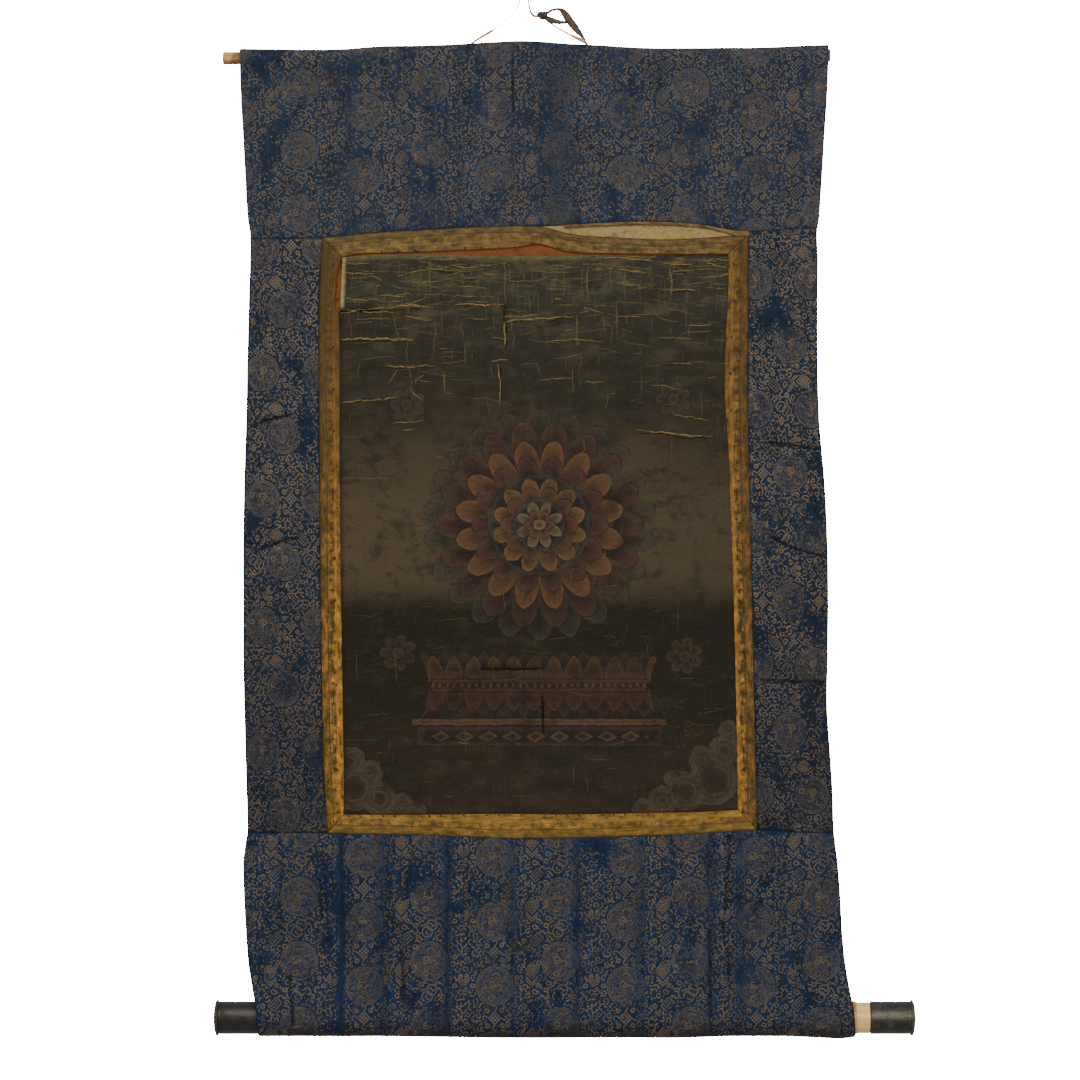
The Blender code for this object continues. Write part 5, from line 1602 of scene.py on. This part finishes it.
THONG_ROUTE = (
    (20.4, 26, 1.2, 20, 1.9), (23.2, 28.2, 1.8, 20, 1.9), (33.6, 35.8, 3.2, 20, 1.9),
    (41.8, 40.8, 2.2, 10, 2.2), (51, 45.8, 0.8, 5, 2.7), (58.6, 49.8, -0.6, 0, 3.8),
    (63.7, 52.2, -1.5, 0, 4.2), (67.9, 54.8, -1.8, 0, 3.2), (69.4, 56.6, -1.8, 0, 3),
)
KNOT = (20, 24.4, -0.4)


def route_points(route, count):
    """Rows evenly spaced along a smooth curve through a route's rows."""
    rows = np.array(route, float)
    places = np.concatenate(([0], np.cumsum(np.linalg.norm(np.diff(rows[:, :3], axis=0), axis=1))))
    spread = np.linspace(0, places[-1], count)
    return np.stack([smooth(np.stack((places, rows[:, k]), 1), spread) for k in range(rows.shape[1])], 1)


def add_cord(name, points, radii, surface, slot, plies, turns, sides=12):
    """A twisted cord along points in mm, with its tone from furrow to crown for the painted shade in the
    furrows.
    """
    along = unit(np.gradient(points, axis=0))
    side = unit(np.cross(along, (0, 1, 0)))
    front = np.cross(side, along)
    angle = np.linspace(0, 2 * np.pi, sides, endpoint=False)[None, :]
    run = np.linspace(0, 1, len(points))[:, None]
    crown = np.abs(np.cos((angle - 2 * np.pi * turns * run) * plies / 2))
    reach = radii[:, None] * (0.88 + 0.17 * crown)
    rings = (points[:, None] + side[:, None] * (reach * np.cos(angle))[..., None]
             + front[:, None] * (reach * np.sin(angle))[..., None])
    return add_piece(name, loft(name, rings, crown), [surface], slot, (name,))


def route_places(stations):
    """Rows of x, drop and depth as points in space."""
    return np.stack((stations[:, 0], stations[:, 2], -stations[:, 1]), 1)


def add_strap(name, route, count, thickness, surface, slot, bow=0.35, ragged=0):
    """A flat leather strap along a route, a little hollow and with rounded edges."""
    stations = route_points(route, count)
    places = route_places(stations)
    ahead = unit(np.gradient(places, axis=0))
    sideways = unit(np.cross((0, -1, 0), ahead))
    turn = np.radians(stations[:, 3])[:, None]
    flat = sideways * np.cos(turn) + np.array((0, 1, 0)) * np.sin(turn)
    out = np.cross(ahead, flat)
    rng = np.random.default_rng(len(name))
    half = stations[:, 4] / 2 * (1 + ragged * rng.normal(0, 0.1, count))
    section = np.array([(-1, 0), (-0.93, 0.42), (-0.7, 0.5), (0, 0.5), (0.7, 0.5), (0.93, 0.42),
                        (1, 0), (0.93, -0.42), (0.7, -0.5), (0, -0.5), (-0.7, -0.5), (-0.93, -0.42)])
    across, rise_by = section[:, 0][None, :, None], section[:, 1][None, :, None]
    rings = (places[:, None] + flat[:, None] * across * half[:, None, None]
             + out[:, None] * (rise_by * thickness + bow * (1 - across**2)))
    return add_piece(name, loft(name, rings, 0.8), [surface], slot, (name,)), places


cord_stations = route_points(CORD_ROUTE, 220)
cord_path = route_places(cord_stations)
tan_cord = twisted("tan cord", (192, 160, 120), (124, 98, 72), (66, 62, 60))
pieces["hanging_cord"] = add_cord("hanging_cord", cord_path, cord_stations[:, 3], tan_cord, "cord", 2, 34)
brown_hide = hide("brown leather", (98, 66, 38), (56, 38, 24), (128, 94, 62))
pale_hide = hide("pale thong leather", (190, 158, 106), (136, 104, 66), (212, 186, 138))
pieces["ribbon"], ribbon_path = add_strap("ribbon", RIBBON_ROUTE, 60, 1, brown_hide, "leather", 0.3)
pieces["ribbon_tail"], _ = add_strap("ribbon_tail", TAIL_ROUTE, 24, 1, brown_hide, "leather", 0.15)
pieces["thong"], thong_path = add_strap("thong", THONG_ROUTE, 48, 0.9, pale_hide, "cord", 0.1, 0.4)
t = np.linspace(0, 2 * np.pi, 120, endpoint=False)
knot_path = np.stack((
    KNOT[0] + (np.sin(t) + 2 * np.sin(2 * t)) * 1.6, KNOT[2] - np.sin(3 * t) * 1.8,
    -KNOT[1] + (np.cos(t) - 2 * np.cos(2 * t)) * 1.15,
), 1)


def add_knot():
    """An overhand knot: one closed strand, drawn tight."""
    along = unit(np.roll(knot_path, -1, 0) - np.roll(knot_path, 1, 0))
    side = unit(np.cross(along, knot_path - knot_path.mean(0)))
    front = np.cross(side, along)
    angle = np.linspace(0, 2 * np.pi, 14, endpoint=False)[None, :, None]
    rings = knot_path[:, None] + side[:, None] * 2.3 * np.cos(angle) + front[:, None] * 1.6 * np.sin(angle)
    return add_piece("knot", loft("knot", rings, 0.8, True), [brown_hide], "leather", ("knot",))


pieces["knot"] = add_knot()

# ---- stitches and frayed fibres ----

def seam_path(cloth, x, drop, lift):
    """A line of points on a cloth's front."""
    return cloth.lay(np.asarray(x, float), np.asarray(drop, float), lift)


down, over = np.arange(274, 916, 4), np.arange(-212, 238, 4)     # drop and x along the seams
tacked_down, tacked_over, tacked_top, torn = down[6:-4], over[5:-6], over[5:56], down[5:22]
tacks = stitch_tree(thread("dark sewing thread", (52, 38, 24), (28, 22, 16)))
trimmings = {}             # stitches and fibres by the cloth that they lie on
for name, cloth, x, drop, spacing, slant, size in (
    ("tacks_left", "border_left", smooth(LEFT_STRIP_INNER, tacked_down) - 6.5, tacked_down,
     0.043, 0.2, 0.002),
    ("tacks_right", "border_right", smooth(RIGHT_STRIP_INNER, tacked_down) + 6, tacked_down,
     0.039, -0.2, 0.0022),
    ("tacks_bottom", "border_bottom", tacked_over, smooth(PAINTING_BOTTOM, tacked_over) + 2.4,
     0.0125, 0.9, 0.0017),
    ("tacks_top", "border_top", tacked_top, smooth(TOP_STRIP_LOWER, tacked_top) - 1.6, 0.017, 0.9, 0.0016),
):
    path = seam_path(cloths[cloth], x, drop, SILK / 2 + 0.1)
    mesh = tacks.run(path_mesh(path), {
        "Spacing": spacing, "Length": size, "Slant": slant, "Thickness": 0.0011,
    })
    pieces[name] = add_piece(name, mesh, [], "gold_silk")
    trimmings.setdefault(cloth, []).append(pieces[name])

gap_x = np.arange(30, 228, 2)     # along the gap above the top strip
sliver_x = gap_x[8:-6]
fray_gold = fray_tree(thread("frayed border silk", (128, 98, 56), (78, 58, 34)))
fray_red = fray_tree(thread("red thread", (150, 62, 40), (96, 44, 30)))
fray_navy = fray_tree(thread("frayed brocade", (70, 66, 64), (28, 36, 50)))
for name, tree, cloth, x, drop, spacing, length, seed in (
    ("fray_sliver", fray_gold, "seam_allowance", sliver_x, smooth(HEADING_SEAM, sliver_x) + 2.9,
     0.0016, 0.0035, 4),
    ("fray_strip", fray_gold, "border_top", gap_x, smooth(TOP_STRIP_UPPER, gap_x) + 0.4, 0.003, 0.0026, 8),
    ("fray_left", fray_gold, "border_left", smooth(LEFT_STRIP_INNER, torn) - 0.4, torn, 0.0024, 0.003, 2),
    ("fray_red", fray_red, "backing_cloth", np.linspace(216, 233, 9), np.linspace(268, 269.5, 9),
     0.0022, 0.007, 5),
    ("fray_heading", fray_navy, "top_panel", gap_x, smooth(HEADING_SEAM, gap_x) - 0.5, 0.0045, 0.0022, 6),
):
    path = seam_path({**cloths, **panels}[cloth], x, drop, 0.6)
    mesh = tree.run(path_mesh(path), {"Spacing": spacing, "Length": length, "Seed": seed})
    pieces[name] = add_piece(name, mesh, [], "gold_silk")
    trimmings.setdefault(cloth, []).append(pieces[name])

# ---- floor, backdrop, lights and camera ----

def add_stage():
    """A round white studio: a floor below the scroll that rises to a wall and closes overhead."""
    floor, reach, bend, sides = -1600, 9000, 2500, 96
    profile = [(reach, floor)]
    for a in np.linspace(0.1, 1.5, 10):
        profile.append((reach + bend * math.sin(a), floor + bend - bend * math.cos(a)))
    profile += [(reach + bend, 6000), (reach, 10000), (3000, 12000)]
    turn = np.linspace(0, 2 * np.pi, sides, endpoint=False)
    rings = np.array([
        np.stack((radius * np.cos(turn), radius * np.sin(turn), np.full(sides, height)), -1)
        for radius, height in profile
    ])
    mesh = loft("studio", rings, 0)
    finish = Finish("white studio")
    mesh.materials.append(finish.done((0.9, 0.9, 0.9, 1), 0.95, Emission_Color=(1, 1, 1, 1),
                                      Emission_Strength=30))
    studio = bpy.data.objects.new("studio", mesh)
    bpy.context.scene.collection.objects.link(studio)
    studio.visible_diffuse = studio.visible_glossy = studio.visible_shadow = False


def add_light(name, place, aim, size, power, warmth=(1, 1, 1)):
    light = bpy.data.lights.new(name, "AREA")
    light.shape = "RECTANGLE"
    light.size, light.size_y = size
    light.energy = power
    light.color = warmth
    lamp = bpy.data.objects.new(name, light)
    lamp.location = place
    lamp.rotation_euler = (Vector(aim) - Vector(place)).to_track_quat("-Z", "Y").to_euler()
    bpy.context.scene.collection.objects.link(lamp)


add_stage()
world = bpy.data.worlds.new("studio")
bpy.context.scene.world = world
world.use_nodes = True
world.node_tree.nodes["Background"].inputs["Color"].default_value = (1, 1, 1, 1)
world.node_tree.nodes["Background"].inputs["Strength"].default_value = 0.75
add_light("key", (-0.9, -2.6, 1.5), (0, 0, -0.6), (1.8, 1.4), 120)
add_light("fill", (1.6, -2.8, 0.2), (0, 0, -0.6), (1.6, 1.8), 50)

MIDDLE = (0.0176, -0.6006)      # x and height at the middle of the picture, in metres
AWAY, SEEN_WIDTH = 4, 1.184   # distance from the cloth's front, and the width seen there
CLOTH_FRONT = -0.007
camera = bpy.data.cameras.new("camera")
camera.lens = camera.sensor_width * AWAY / SEEN_WIDTH
camera.clip_end = 30
camera_object = bpy.data.objects.new("camera", camera)
camera_object.location = (MIDDLE[0], CLOTH_FRONT - AWAY, MIDDLE[1])
camera_object.rotation_euler = (math.pi / 2, 0, 0)
bpy.context.scene.collection.objects.link(camera_object)
bpy.context.scene.camera = camera_object

# ---- what is cord and what is cloth ----


FLAT = {  # width and height of each cloth before it was hung, and its area where its ends are cut to a mitre
    "top_panel": (0.65, 0.263), "bottom_panel": (0.656, 0.331), "left_panel": (0.084, 0.656),
    "right_panel": (0.081, 0.662), "painting": (0.436, 0.614), "border_top": (0.467, 0.0225, 0.0099),
    "border_bottom": (0.471, 0.0268, 0.0116), "border_left": (0.0232, 0.654, 0.0149),
    "border_right": (0.0255, 0.657, 0.0149), "backing_cloth": (0.462, 0.036, 0.0147),
    "red_strip_top": (0.429, 0.0215), "red_strip_left": (0.02, 0.082), "red_strip_bottom": (0.448, 0.018),
}
for name, (width, height, *area) in FLAT.items():
    on_it = [pieces[name + part] for part in ("_figure", "_creases", "_cracks") if name + part in pieces]
    on_it += trimmings.get(name, [])
